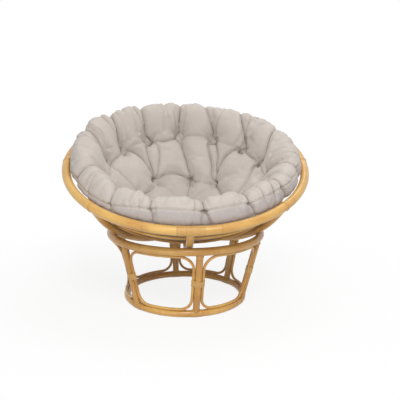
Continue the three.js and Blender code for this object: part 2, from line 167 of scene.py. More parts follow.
# Places on the chair


def around(radius, angle, height):
    """A point on a circle about the vertical axis, counted from the front towards +X"""
    return Vector((radius * math.sin(angle), -radius * math.cos(angle), height))


def on_ball(radius, climb, angle):
    """A point on a ball, at an angle from its lowest point and an angle round it"""
    return around(radius * math.sin(climb), angle, -radius * math.cos(climb))


def spots_around(radius, angle, height):
    """Points on circles about the vertical axis, for whole arrays of places"""
    return np.stack([radius * np.sin(angle), -radius * np.cos(angle), height], axis=-1)


def wrapped(angle):
    """The same angle, between half a turn back and half a turn on"""
    return (angle + math.pi) % full_turn - math.pi


def lengths_along(line):
    """The distance along a line at each of its corners"""
    return np.concatenate([[0], np.cumsum(np.linalg.norm(np.diff(line, axis=0), axis=1))])


def spread_along(line, distances):
    """Places on a line at distances along it"""
    along = lengths_along(line)
    return np.stack([np.interp(distances, along, line[:, axis]) for axis in range(line.shape[1])], axis=1)


def rim_reach(poles):
    return poles.bowl_depth - poles.rib_pole / 2 + poles.rib_set_in


def rim_drop(poles):
    """How far the rim lies under the ball's centre"""
    reach = rim_reach(poles)
    return (poles.rim_radius**2 - reach**2) / (2 * reach)


def rib_path_radius(poles):
    return poles.bowl_depth - poles.rib_pole / 2 + rim_drop(poles)


def floor_ring_height():
    low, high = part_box("floor_ring")
    return (low.z + high.z) / 2


def rib_angles(poles):
    half = poles.rib_count // 2
    spacing = (math.pi - poles.front_rib_spacing) / (half - 1)
    turns = []
    for index in range(poles.rib_count):
        steps = min(index, poles.rib_count - index)
        turn = poles.front_rib_spacing + (steps - 1) * spacing if steps else 0
        turns.append(poles.front_rib_turn + (turn if index <= half else -turn))
    return turns


def leg_angles(poles):
    return [poles.first_leg_turn + full_turn * index / poles.leg_count for index in range(poles.leg_count)]


class LegCone:
    """The cone that the legs lie on, from the floor ring's middle line to the support ring's"""

    def __init__(self, poles):
        self.low = floor_ring_height()
        self.rise = poles.support_ring_height - self.low
        self.radius = poles.floor_ring_radius
        self.spread = poles.support_ring_radius - poles.floor_ring_radius
        self.length = math.hypot(self.rise, self.spread)

    def radius_at(self, along):
        return self.radius + self.spread * along / self.length

    def point(self, along, angle):
        return around(self.radius_at(along), angle, self.low + self.rise * along / self.length)

    def place(self, along, angle):
        """Axes of a leg at a point: X outwards, Y round the stand and Z up the leg"""
        out = around(self.rise / self.length, angle, -self.spread / self.length)
        side = around(1, angle + math.pi / 2, 0)
        turned = Matrix((out, side, out.cross(side))).transposed().to_4x4()
        return Matrix.Translation(self.point(along, angle)) @ turned


# Mesh work


def deselect_all():
    if bpy.context.object and bpy.context.object.mode != "OBJECT":
        bpy.ops.object.mode_set(mode="OBJECT")
    bpy.ops.object.select_all(action="DESELECT")


def select_only(piece):
    deselect_all()
    piece.select_set(True)
    bpy.context.view_layer.objects.active = piece


def apply_modifier(piece, kind, **settings):
    select_only(piece)
    modifier = piece.modifiers.new(kind.title(), kind)
    for key, value in settings.items():
        setattr(modifier, key, value)
    bpy.ops.object.modifier_apply(modifier=modifier.name)


def settle(piece, place):
    """Moves a piece to its place and leaves the place in its mesh"""
    piece.matrix_world = place @ piece.matrix_world
    select_only(piece)
    bpy.ops.object.transform_apply(location=True, rotation=True, scale=True)


def mend_surface(piece):
    """Closes open ends, joins doubled corners and turns the faces outwards"""
    select_only(piece)
    bpy.ops.object.mode_set(mode="EDIT")
    bpy.ops.mesh.select_all(action="SELECT")
    bpy.ops.mesh.remove_doubles(threshold=1e-5)
    bpy.ops.mesh.fill_holes(sides=0)
    bpy.ops.mesh.select_all(action="SELECT")
    bpy.ops.mesh.normals_make_consistent(inside=False)
    bpy.ops.object.mode_set(mode="OBJECT")


def gathered(items, key, width, kind=float):
    """One value of every item, as the rows of an array"""
    values = np.zeros(width * len(items), kind)
    items.foreach_get(key, values)
    return values.reshape(-1, width)


def corner_uvs(piece, layer):
    return gathered(piece.data.uv_layers[layer].data, "uv", 2, np.float32)


def set_corner_uvs(piece, layer, values):
    if layer not in piece.data.uv_layers:
        piece.data.uv_layers.new(name=layer, do_init=False)
    piece.data.uv_layers[layer].data.foreach_set("uv", values.astype(np.float32).ravel())


def mesh_points(piece):
    return gathered(piece.data.vertices, "co", 3)


def set_mesh_points(piece, points):
    piece.data.vertices.foreach_set("co", points.astype(np.float32).ravel())
    piece.data.update()


def corner_owners(piece):
    """Which point of the mesh each corner of a face uses"""
    return gathered(piece.data.loops, "vertex_index", 1, np.int32)[:, 0]


def corner_points(piece):
    return mesh_points(piece).astype(np.float32)[corner_owners(piece)]


# Poles


# Rings of corners on both sides of a growth ring, the room kept free round them and at the ends, and half its width
knot_offsets = (-0.009, -0.0055, -0.003, -0.0013, 0.0, 0.0013, 0.003, 0.0055, 0.009)
knot_clearance = 0.004
end_clearance = 0.002
knot_half_width = 0.0045

# Steps along a ring pole, and along and round the ring that scoops a piece
ring_steps = 720
cutter_steps, cutter_sides = 180, 32


def knot_places(name, length, spacing, closed):
    """Where the growth rings of one pole lie along it"""
    draw = random.Random(name)
    count = max(1, round(length / spacing))
    step = length / count
    first = step * draw.uniform(0.25, 0.75)
    places = [first + step * index + draw.uniform(-0.16, 0.16) * step for index in range(count)]
    return [place % length if closed else min(max(place, 0), length) for place in places]


def cut_places(length, knots, step, closed):
    """Distances along a pole where its surface has a ring of corners"""
    close = [knot + offset for knot in knots for offset in knot_offsets]
    even = np.linspace(0, length, max(2, math.ceil(length / step) + 1))
    clear = [place for place in even[1:-1] if all(abs(place - other) > knot_clearance for other in close)]
    inside = [place for place in close if end_clearance < place < length - end_clearance]
    return np.array(sorted([0.0, *clear, *inside] + ([] if closed else [length])))


def knot_reach(places, knots, length, closed):
    """How far each place is from the nearest growth ring"""
    gaps = np.abs(np.subtract.outer(np.asarray(places, float), np.array(knots)))
    if closed:
        gaps = np.minimum(gaps, length - gaps)
    return gaps.min(axis=1)


def add_pole(name, path, diameter, closed=False, step=0.012, sides=24, swell=0.0, spacing=0.29):
    """A pole bent along a path, with its growth rings"""
    points = np.array([tuple(point) for point in path], float)
    if closed:
        points = np.vstack([points, points[:1]])
    length = lengths_along(points)[-1]
    knots = knot_places(name, length, spacing, closed)
    places = cut_places(length, knots, step, closed)
    stations = spread_along(points, places)
    reach = knot_reach(places, knots, length, closed)
    deselect_all()
    bpy.ops.curve.primitive_bezier_curve_add()
    curve = bpy.context.object.data
    curve.splines.clear()
    spline = curve.splines.new("POLY")
    spline.points.add(len(places) - 1)
    spline.points.foreach_set("co", np.hstack([stations, np.ones((len(places), 1))]).ravel())
    spline.points.foreach_set("radius", 1 + swell / (diameter / 2) * np.exp(-((reach / knot_half_width) ** 2)))
    spline.use_cyclic_u = closed
    curve.dimensions = "3D"
    curve.bevel_depth = diameter / 2
    curve.bevel_resolution = sides // 2 - 2
    curve.use_fill_caps = not closed
    bpy.ops.object.convert(target="MESH")
    piece = bpy.context.object
    piece.name = name
    mark_pole(piece, places, knots, length, diameter, closed)
    mend_surface(piece)
    bpy.ops.object.shade_smooth_by_angle(angle=soft_edge)
    return piece


def mark_pole(piece, places, knots, length, diameter, closed):
    """Writes the distance along the pole, round it and to its nearest growth ring into UV maps"""
    spots = corner_uvs(piece, "UVMap")
    share = spots[:, 0] * (len(places) if closed else len(places) - 1)
    known = np.append(places, length) if closed else places
    along = np.interp(share, np.arange(len(known)), known)
    set_corner_uvs(piece, "UVMap", np.stack([along, spots[:, 1] * math.pi * diameter], axis=1))
    tone = random.Random(piece.name + " tone").random()
    reach = knot_reach(along, knots, length, closed)
    set_corner_uvs(piece, "Knots", np.stack([reach, np.full(len(reach), tone)], axis=1))


def ring_path(radius, height, start, place):
    """The middle line of a ring pole, from an angle on"""
    return [place @ around(radius, start + full_turn * index / ring_steps, height) for index in range(ring_steps)]


def ring_cutter(radius, height, diameter, place):
    """A ring pole grown by the fit, that scoops out what sits on it"""
    deselect_all()
    segments = {"major_segments": cutter_steps, "minor_segments": cutter_sides}
    bpy.ops.mesh.primitive_torus_add(
        **segments, major_radius=radius, minor_radius=diameter / 2, location=(0, 0, height)
    )
    cutter = bpy.context.object
    settle(cutter, place)
    return cutter


def scoop(piece, cutters):
    for cutter in cutters:
        apply_modifier(piece, "BOOLEAN", operation="DIFFERENCE", object=cutter, solver="EXACT")


def drop(objects):
    for spent in objects:
        bpy.data.objects.remove(spent)


# Cane windings


# The flat cane: sides of its section, half its width as a share, its steps in a turn and what the last turn takes
strip_sides, strip_half, strip_steps, last_turn = 10, 0.49, 32, 0.96
strip_edge = math.radians(60)
collar_pitch = 0.0008

# The cylinder that stands for a winding's room: its sides and the cuts along it
room_sides, room_cuts = 48, 8


def wind_cane(name, radius, width, cane, fit, room=1.0):
    """Flat cane wound side by side round a pole that lies along Z, no thicker than the room there is for it"""
    thickness = min(cane.thickness, room)
    turns = max(1, round(width / cane.width))
    pitch = (width - cane.width * last_turn) / turns if turns > 1 else collar_pitch
    middle = radius + fit + thickness / 2
    deselect_all()
    bpy.ops.mesh.primitive_circle_add(
        vertices=strip_sides, radius=1, fill_type="NOTHING", rotation=(math.pi / 2, 0, 0), location=(middle, 0, 0)
    )
    piece = bpy.context.object
    piece.name = name
    piece.scale = (thickness / 2, min(cane.width, width) * strip_half, 1)
    bpy.ops.object.transform_apply(location=True, rotation=True, scale=True)
    apply_modifier(
        piece,
        "SCREW",
        axis="Z",
        angle=full_turn,
        screw_offset=pitch,
        iterations=turns,
        steps=strip_steps,
        render_steps=strip_steps,
        use_normal_calculate=True,
    )
    settle(piece, Matrix.Translation((0, 0, -pitch * turns / 2)))
    mark_cane(piece, middle, pitch, turns)
    mend_surface(piece)
    bpy.ops.object.shade_smooth_by_angle(angle=strip_edge)
    return piece


def mark_cane(piece, radius, pitch, turns):
    """Writes the distance along the strip and across it into a UV map"""
    points = corner_points(piece)
    share = np.arctan2(points[:, 1], points[:, 0]) / full_turn
    wound = (points[:, 2] + pitch * turns / 2) / pitch
    whole = np.round(wound - share)
    turned = whole + share
    across = points[:, 2] + pitch * turns / 2 - turned * pitch
    set_corner_uvs(piece, "UVMap", np.stack([turned * full_turn * radius, across], axis=1))


def bend_round_ring(piece, ring_radius, height, angle, place):
    """Bends a straight winding to a ring's curve and moves it to its place on that ring"""
    settle(piece, Matrix.Rotation(math.pi / 2, 4, "Y"))
    xs = corner_points(piece)[:, 0]
    apply_modifier(
        piece,
        "SIMPLE_DEFORM",
        deform_method="BEND",
        deform_axis="Z",
        angle=float(xs.max() - xs.min()) / ring_radius,
    )
    middle = place @ Matrix.Translation((0, 0, height)) @ Matrix.Rotation(angle, 4, "Z")
    settle(piece, middle @ Matrix.Translation((0, -ring_radius, 0)))


def winding_room(width, radius, ring_radius, height, angle, place):
    """The room that a winding on a ring needs in what lies against it"""
    deselect_all()
    bpy.ops.mesh.primitive_cylinder_add(vertices=room_sides, radius=radius, depth=width)
    piece = bpy.context.object
    bpy.ops.object.mode_set(mode="EDIT")
    for cut in range(1, room_cuts):
        bpy.ops.mesh.select_all(action="SELECT")
        bpy.ops.mesh.bisect(plane_co=(0, 0, width * (cut / room_cuts - 0.5)), plane_no=(0, 0, 1))
    bpy.ops.object.mode_set(mode="OBJECT")
    bend_round_ring(piece, ring_radius, height, angle, place)
    return piece


def band_outline(sink, offset, leg_radius, loop_radius, grow, angle):
    """A point on the line stretched round a leg and the loops beside it"""
    way = Vector((math.cos(angle), math.sin(angle)))
    poles = [(Vector((0, 0)), leg_radius)]
    poles += [(Vector((sink, side)), loop_radius) for side in (offset, -offset)]
    centre, radius = max(poles, key=lambda pole: pole[0].dot(way) + pole[1])
    return centre + way * (radius + grow)


# Materials


def put(tree, kind, inputs=None, **settings):
    """Adds a node, with its settings, its values and what feeds it"""
    made = tree.nodes.new(kind)
    for key, value in settings.items():
        setattr(made, key, value)
    for key, value in (inputs or {}).items():
        if isinstance(value, bpy.types.NodeSocket):
            tree.links.new(value, made.inputs[key])
        else:
            made.inputs[key].default_value = value
    return made


def calculate(tree, operation, *values):
    return put(tree, "ShaderNodeMath", dict(enumerate(values)), operation=operation).outputs[0]


def times_plus(tree, value, factor, added):
    return calculate(tree, "MULTIPLY_ADD", value, factor, added)


def times(tree, first, second):
    return calculate(tree, "MULTIPLY", first, second)


def plus(tree, first, second):
    return calculate(tree, "ADD", first, second)


def minus(tree, first, second):
    return calculate(tree, "SUBTRACT", first, second)


def larger(tree, first, second):
    return calculate(tree, "MAXIMUM", first, second)


def noise(tree, vector, scale, detail, roughness):
    values = {"Vector": vector, "Scale": scale, "Detail": detail, "Roughness": roughness}
    return put(tree, "ShaderNodeTexNoise", values).outputs["Fac"]


def fibre_noise(tree, surface, along, across, detail, roughness, through=1.0):
    """Noise drawn out over a surface, by how often it changes along it and across it"""
    amounts = {0: surface, 1: (along, across, through)}
    drawn = put(tree, "ShaderNodeVectorMath", amounts, operation="MULTIPLY").outputs[0]
    return noise(tree, drawn, 1.0, detail, roughness)


def reach_of(tree, vector):
    """How far a place is from the middle"""
    return put(tree, "ShaderNodeVectorMath", {0: vector}, operation="LENGTH").outputs["Value"]


def parts_of(tree, vector):
    return put(tree, "ShaderNodeSeparateXYZ", {0: vector}).outputs


def uv_map(tree, name):
    return put(tree, "ShaderNodeUVMap", uv_map=name).outputs[0]


def own_place(tree):
    return put(tree, "ShaderNodeTexCoord").outputs["Object"]


def ramp(tree, value, low, high, start=0.0, end=1.0):
    """A smooth change from start to end as value goes from low to high"""
    values = {"Value": value, "From Min": low, "From Max": high, "To Min": start, "To Max": end}
    return put(tree, "ShaderNodeMapRange", values, interpolation_type="SMOOTHSTEP").outputs["Result"]


def mixed(tree, share, first, second):
    return put(tree, "ShaderNodeMix", {0: share, 6: first, 7: second}, data_type="RGBA").outputs[2]


def new_group(name, **inputs):
    """A group that puts out a finish's colour, roughness and height: a vector goes in where no value is given"""
    tree = bpy.data.node_groups.new(name, "ShaderNodeTree")
    for label, default in inputs.items():
        kind = "Vector" if default is None else "Color" if isinstance(default, tuple) else "Float"
        label = label.replace("_", " ")
        socket = tree.interface.new_socket(name=label, in_out="INPUT", socket_type="NodeSocket" + kind)
        if default is not None:
            socket.default_value = default
    for label, kind in (("Color", "Color"), ("Roughness", "Float"), ("Height", "Float")):
        tree.interface.new_socket(name=label, in_out="OUTPUT", socket_type="NodeSocket" + kind)
    return tree, put(tree, "NodeGroupInput").outputs


def give_out(tree, colour, roughness, height):
    put(tree, "NodeGroupOutput", {"Color": colour, "Roughness": roughness, "Height": height})
    return tree


def opaque(colour):
    return (*tuple(colour)[:3], 1.0)


def skin_group():
    """Rattan skin: long streaks, warm patches and dark growth rings"""
    tree, given = new_group(
        "Rattan Skin",
        Surface=None,
        Place=None,
        Knot_Reach=1.0,
        Tone=0.5,
        Honey=(0.7, 0.45, 0.15, 1),
        Amber=(0.6, 0.33, 0.1, 1),
        Knot=(0.25, 0.11, 0.03, 1),
        Roughness=0.36,
    )
    surface = given["Surface"]
    streaks = fibre_noise(tree, surface, 6.0, 260.0, 4.0, 0.55)
    fibres = fibre_noise(tree, surface, 34.0, 1500.0, 2.0, 0.6)
    patches = noise(tree, given["Place"], 5.5, 3.0, 0.5)
    specks = fibre_noise(tree, surface, 160.0, 420.0, 3.0, 0.65)
    warmth = times_plus(tree, streaks, 0.75, times(tree, fibres, 0.22))
    warmth = times_plus(tree, patches, 1.20, warmth)
    warmth = times_plus(tree, given["Tone"], 0.20, warmth)
    body = mixed(tree, ramp(tree, warmth, 0.88, 1.42), given["Honey"], given["Amber"])
    ragged = times_plus(tree, minus(tree, specks, 0.5), 0.0022, given["Knot Reach"])
    line = ramp(tree, ragged, 0.0002, 0.0014, 0.34, 0.0)
    halo = ramp(tree, ragged, 0.0, 0.011, 0.10, 0.0)
    scars = ramp(tree, specks, 0.70, 0.80, 0.0, 0.28)
    darkened = mixed(tree, larger(tree, larger(tree, line, halo), scars), body, given["Knot"])
    dull = times_plus(tree, patches, 0.16, times(tree, line, 0.2))
    dull = plus(tree, dull, times_plus(tree, streaks, 0.1, -0.13))
    relief = times_plus(tree, fibres, 0.35, times(tree, streaks, 0.5))
    relief = plus(tree, relief, ramp(tree, ragged, 0.0008, 0.0045, 0.9, 0.0))
    relief = minus(tree, relief, ramp(tree, ragged, 0.0, 0.0010, 0.7, 0.0))
    return give_out(tree, darkened, plus(tree, given["Roughness"], dull), relief)


def strip_group():
    """Flat cane: fibres along the strip and painted shade in the groove at its edges"""
    tree, given = new_group(
        "Flat Cane",
        Surface=None,
        Half_Width=0.0027,
        Cane=(0.66, 0.4, 0.13, 1),
        Groove=(0.3, 0.15, 0.04, 1),
        Roughness=0.42,
    )
    surface = given["Surface"]
    fibres = fibre_noise(tree, surface, 40.0, 2600.0, 3.0, 0.6)
    turns = fibre_noise(tree, surface, 5.0, 190.0, 2.0, 0.5)
    across = parts_of(tree, surface)[1]
    edge = calculate(tree, "DIVIDE", calculate(tree, "ABSOLUTE", across), given["Half Width"])
    # Painted shade in the groove between two turns, darkest at the strip's edges
    groove = ramp(tree, edge, 0.48, 0.98, 0.0, 0.92)
    bright = times_plus(tree, turns, 0.7, times(tree, fibres, 0.5))
    shade = ramp(tree, bright, 0.35, 0.85, 0.40, 0.0)
    cane_with_painted_grooves = mixed(tree, larger(tree, groove, shade), given["Cane"], given["Groove"])
    return give_out(tree, cane_with_painted_grooves, times_plus(tree, fibres, 0.2, given["Roughness"]), fibres)


def fresh_material(name):
    material = bpy.data.materials.new(name)
    material.use_nodes = True
    material.node_tree.nodes.clear()
    return material, material.node_tree


def finish_material(tree, finish, relief, strength, **constants):
    """The material's own shader, fed by a finish's colour, roughness and height"""
    bump = put(tree, "ShaderNodeBump", {"Height": finish["Height"], "Distance": relief, "Strength": strength})
    values = {"Base Color": finish["Color"], "Roughness": finish["Roughness"], "Normal": bump.outputs["Normal"]}
    values.update((label.replace("_", " "), value) for label, value in constants.items())
    shader = put(tree, "ShaderNodeBsdfPrincipled", values)
    put(tree, "ShaderNodeOutputMaterial", {"Surface": shader.outputs[0]})


def pole_material(rattan):
    name = "Lacquered rattan"
    if name in bpy.data.materials:
        return bpy.data.materials[name]
    material, tree = fresh_material(name)
    knots = parts_of(tree, uv_map(tree, "Knots"))
    values = {
        "Surface": uv_map(tree, "UVMap"),
        "Place": own_place(tree),
        "Knot Reach": knots[0],
        "Tone": knots[1],
        "Honey": opaque(rattan.honey),
        "Amber": opaque(rattan.amber),
        "Knot": opaque(rattan.knot),
        "Roughness": rattan.roughness,
    }
    skin = put(tree, "ShaderNodeGroup", values, node_tree=skin_group())
    finish_material(tree, skin.outputs, 0.0005, 0.55, Coat_Weight=0.30, Coat_Roughness=0.18)
    return material


def cane_material(cane):
    name = "Wound cane"
    if name in bpy.data.materials:
        return bpy.data.materials[name]
    material, tree = fresh_material(name)
    values = {
        "Surface": uv_map(tree, "UVMap"),
        "Half Width": cane.width / 2,
        "Cane": opaque(cane.strip),
        "Groove": opaque(cane.groove),
    }
    strip = put(tree, "ShaderNodeGroup", values, node_tree=strip_group())
    finish_material(tree, strip.outputs, 0.0003, 0.5, Coat_Weight=0.3, Coat_Roughness=0.22)
    return material


def dress(piece, body, slot, material, *nodes):
    """Gives a finished piece its material and its body, and hides the solids that it stands for"""
    piece.data.materials.clear()
    piece.data.materials.append(material)
    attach(piece, body)
    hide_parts(*nodes)


# Cushion


class CushionSettings(bpy.types.PropertyGroup):
    """The tufted cushion"""

    outer_radius: metres("Outer Circle", "Radius of the outer circle of tufts", 0.357)
    inner_radius: metres("Inner Circle", "Radius of the inner circle of tufts", 0.185)
    lie_radius: metres("Underside", "Radius of the ball that the underside lies on", 0.5425)
    grain_size: metres("Mesh Size", "Size of the faces that the cloth is cut into", 0.0085)
    pressure: bpy.props.FloatProperty(name="Pressure", description="How hard the filling pushes", default=4.0)
    fullness: bpy.props.FloatProperty(
        name="Fullness", description="Share by which the cloth is larger than the form under it", default=0.01
    )
    stiffness: bpy.props.FloatProperty(name="Stiffness", description="How hard the cloth is to bend", default=4.0)
    reach: metres("Reach", "The furthest that the cloth moves as it fills", 0.024)
    cloth: colour("Cloth", "Colour of the cover", (0.56, 0.505, 0.455))
    # Shade darkens the cloth between the threads, in slubs and mottling, and is also the painted shade beside the
    # creases and in the seat's hollow
    shade: colour("Shade", "Colour between the threads", (0.39, 0.335, 0.305))
    # Band is a darker, cooler copy of the cloth, painted as shade on the side below the seam
    band: colour("Band", "Colour of the cloth of the side", (0.478, 0.437, 0.425))
    # Crease is the painted shade in the bottom of the creases and round the tufts
    crease: colour("Crease", "Colour in the bottom of the creases", (0.15, 0.115, 0.095))
    thread_colour: colour("Thread", "Colour of the sewing thread", (0.36, 0.32, 0.29))
    thread_pitch: metres("Thread Pitch", "Distance between the threads of the cloth", 0.0013)
    thread: metres("Sewing Thread", "Thickness of the sewing thread", 0.0011)
    stitch_step: metres("Stitch", "Distance from one stitch to the next", 0.0095)


# Half a section through the middle of a lobe and along a pleat: radius and height over the rim's middle line
lobe_section = (
    (0.0, -0.212), (0.060, -0.208), (0.120, -0.190), (0.185, -0.160), (0.250, -0.118), (0.305, -0.070),
    (0.348, -0.018), (0.380, 0.030), (0.406, 0.064), (0.430, 0.084), (0.452, 0.091), (0.472, 0.085), (0.487, 0.073),
    (0.497, 0.060),
)
pleat_section = (
    (0.0, -0.212), (0.060, -0.208), (0.120, -0.190), (0.185, -0.160), (0.250, -0.122), (0.305, -0.086),
    (0.357, -0.050), (0.386, -0.006), (0.409, 0.034), (0.431, 0.062), (0.453, 0.077), (0.472, 0.077), (0.486, 0.068),
    (0.494, 0.057),
)
side_section = ((0.5050, 0.044), (0.5095, 0.024), (0.5080, 0.002))

# Degrees round the bowl from the front: the outer tufts, where the pleat from each meets the seam, the inner tufts
outer_turns = (4.8, 30.5, 56.2, 81.9, 104.9, 129.6, 157.4, 184.6, 210.7, 235.7, 258.7, 287.7, 313.4, 339.1)
pleat_ends = (7.3, 29.5, 52.0, 73.0, 116.0, 145.0, 168.0, 183.0, 208.4, 230.0, 252.0, 291.0, 321.5, 342.5)
inner_turns = (17.7, 69.1, 134.5, 170.8, 224.0, 268.0, 326.2)
inner_out = (0.000, 0.000, -0.015, -0.032, -0.005, 0.000, 0.000)

# Where the seam has slid down towards the rim, in degrees: its middle and how far it reaches to each side
slid_turn = 300.0
slid_reach = 33.0

# More folds below the seam, at the notch in the front: end in degrees, sharpness, lean in radians round the bowl
notch_folds = ((7.3, 1.0, 0.055), (7.3, 0.7, -0.020))

# Second pleats that run out from an outer tuft, and short ones that start at the seam: end, share of the way inwards
double_pleats = ((5, 136.5), (8, 214.5), (9, 238.0), (2, 45.0))
short_pleats = (
    (38.1, 0.26), (61.0, 0.30), (86.0, 0.34), (98.0, 0.16), (131.0, 0.14), (157.0, 0.12), (194.0, 0.16),
    (221.0, 0.16), (262.0, 0.18), (306.0, 0.08), (337.5, 0.10), (3.0, 0.16),
)

# Creases from an outer tuft to an inner one: how far they bow to the side, in radians round the bowl, and how sharp
drawn_creases = (
    (0, 0, 0.04, 0.8), (1, 0, -0.05, 0.7), (2, 1, 0.07, 0.8), (3, 1, 0.02, 0.7), (4, 1, 0.17, 1.0), (5, 2, 0.16, 1.0),
    (6, 2, 0.13, 0.9), (6, 2, -0.02, 0.8), (7, 3, 0.03, 1.0), (8, 4, 0.02, 0.9), (8, 4, -0.19, 0.6), (9, 4, -0.13, 1.0),
    (10, 5, -0.03, 0.7), (11, 5, 0.06, 0.7), (12, 6, -0.05, 0.8), (13, 6, 0.04, 0.7),
)

# Creases from an outer tuft to the next, from an inner one to the next and to the middle: sag inwards and sharpness
outer_ring = (
    (0, 0.03, 0.3), (1, 0.02, 0.4), (2, 0.04, 0.4), (3, 0.02, 0.3), (4, 0.03, 0.8), (5, 0.03, 0.3), (6, 0.01, 0.45),
    (7, 0.05, 0.75), (8, 0.02, 0.3), (9, 0.03, 0.7), (10, 0.03, 0.4), (11, 0.02, 0.3), (12, 0.04, 0.4), (13, 0.02, 0.3),
)
inner_ring = (
    (0, 0.02, 0.5), (1, 0.03, 1.0), (2, 0.01, 0.45), (3, -0.05, 0.9), (4, 0.03, 1.0), (5, 0.03, 0.6), (6, 0.02, 0.5),
)
spokes = ((0, 0.4), (1, 0.3), (2, 0.35), (3, 0.8), (4, 0.35), (5, 0.3), (6, 0.4))

# How much each lobe stands out over the mean one, and how much higher it is
lobe_out = (0.000, 0.003, 0.008, 0.012, 0.008, 0.000, 0.002, -0.002, 0.000, 0.010, 0.010, 0.000, 0.000, 0.002)
lobe_rise = (0.012, 0.010, 0.004, -0.002, 0.004, -0.003, 0.003, 0.010, 0.030, 0.038, 0.032, 0.010, 0.007, 0.013)

# How deep the outer, the inner and the middle tufts sink in, and how wide
tuft_depths, tuft_width = (0.038, 0.044, 0.018), 0.034

# How far the cloth stands up between the inner tufts, the dip that keeps it down, and where this ends
bulge_height, bulge_dip, bulge_radius, bulge_edge = 0.008, 0.02, 0.34, 0.06

# What counts as the hollow of the upper face: so far inside the underside's ball, and no higher over the rim
top_over_ball, top_over_rim = 0.035, 0.02

# How wide the change is from the cloth of the top to the painted shade of the side, and the way that counts as below
# the seam
band_edge, band_out, band_down = 0.004, 0.35, 0.94

# How the side follows the pleats of the top: how wide a pleat is there, how far it draws in and a lobe stands out
edge_width, edge_in, edge_out = 0.020, 0.015, 0.35

# The rows of the side and of the underside, and the columns all round
rows_side, rows_under, columns = 10, 60, 364

# Angles all round the cushion, for its seam
seam_turns = np.linspace(0, full_turn, 721)


def smooth_line(points, count):
    """A smooth line through points, cut into equal steps"""
    spots = np.array(points)
    gaps = np.linalg.norm(np.diff(spots, axis=0), axis=1) ** 0.5
    knots = np.concatenate([[0], np.cumsum(gaps)])
    slopes = np.gradient(spots, knots, axis=0)
    at = np.linspace(0, knots[-1], count * 8)
    index = np.clip(np.searchsorted(knots, at, side="right") - 1, 0, len(spots) - 2)
    width = (knots[index + 1] - knots[index])[:, None]
    share = ((at - knots[index]) / width[:, 0])[:, None]
    first = (1 + 2 * share) * (1 - share) ** 2 * spots[index] + share * (1 - share) ** 2 * width * slopes[index]
    second = share**2 * (3 - 2 * share) * spots[index + 1] + share**2 * (share - 1) * width * slopes[index + 1]
    line = first + second
    return spread_along(line, np.linspace(0, lengths_along(line)[-1], count))


def eased(share):
    share = np.clip(share, 0, 1)
    return share * share * (3 - 2 * share)


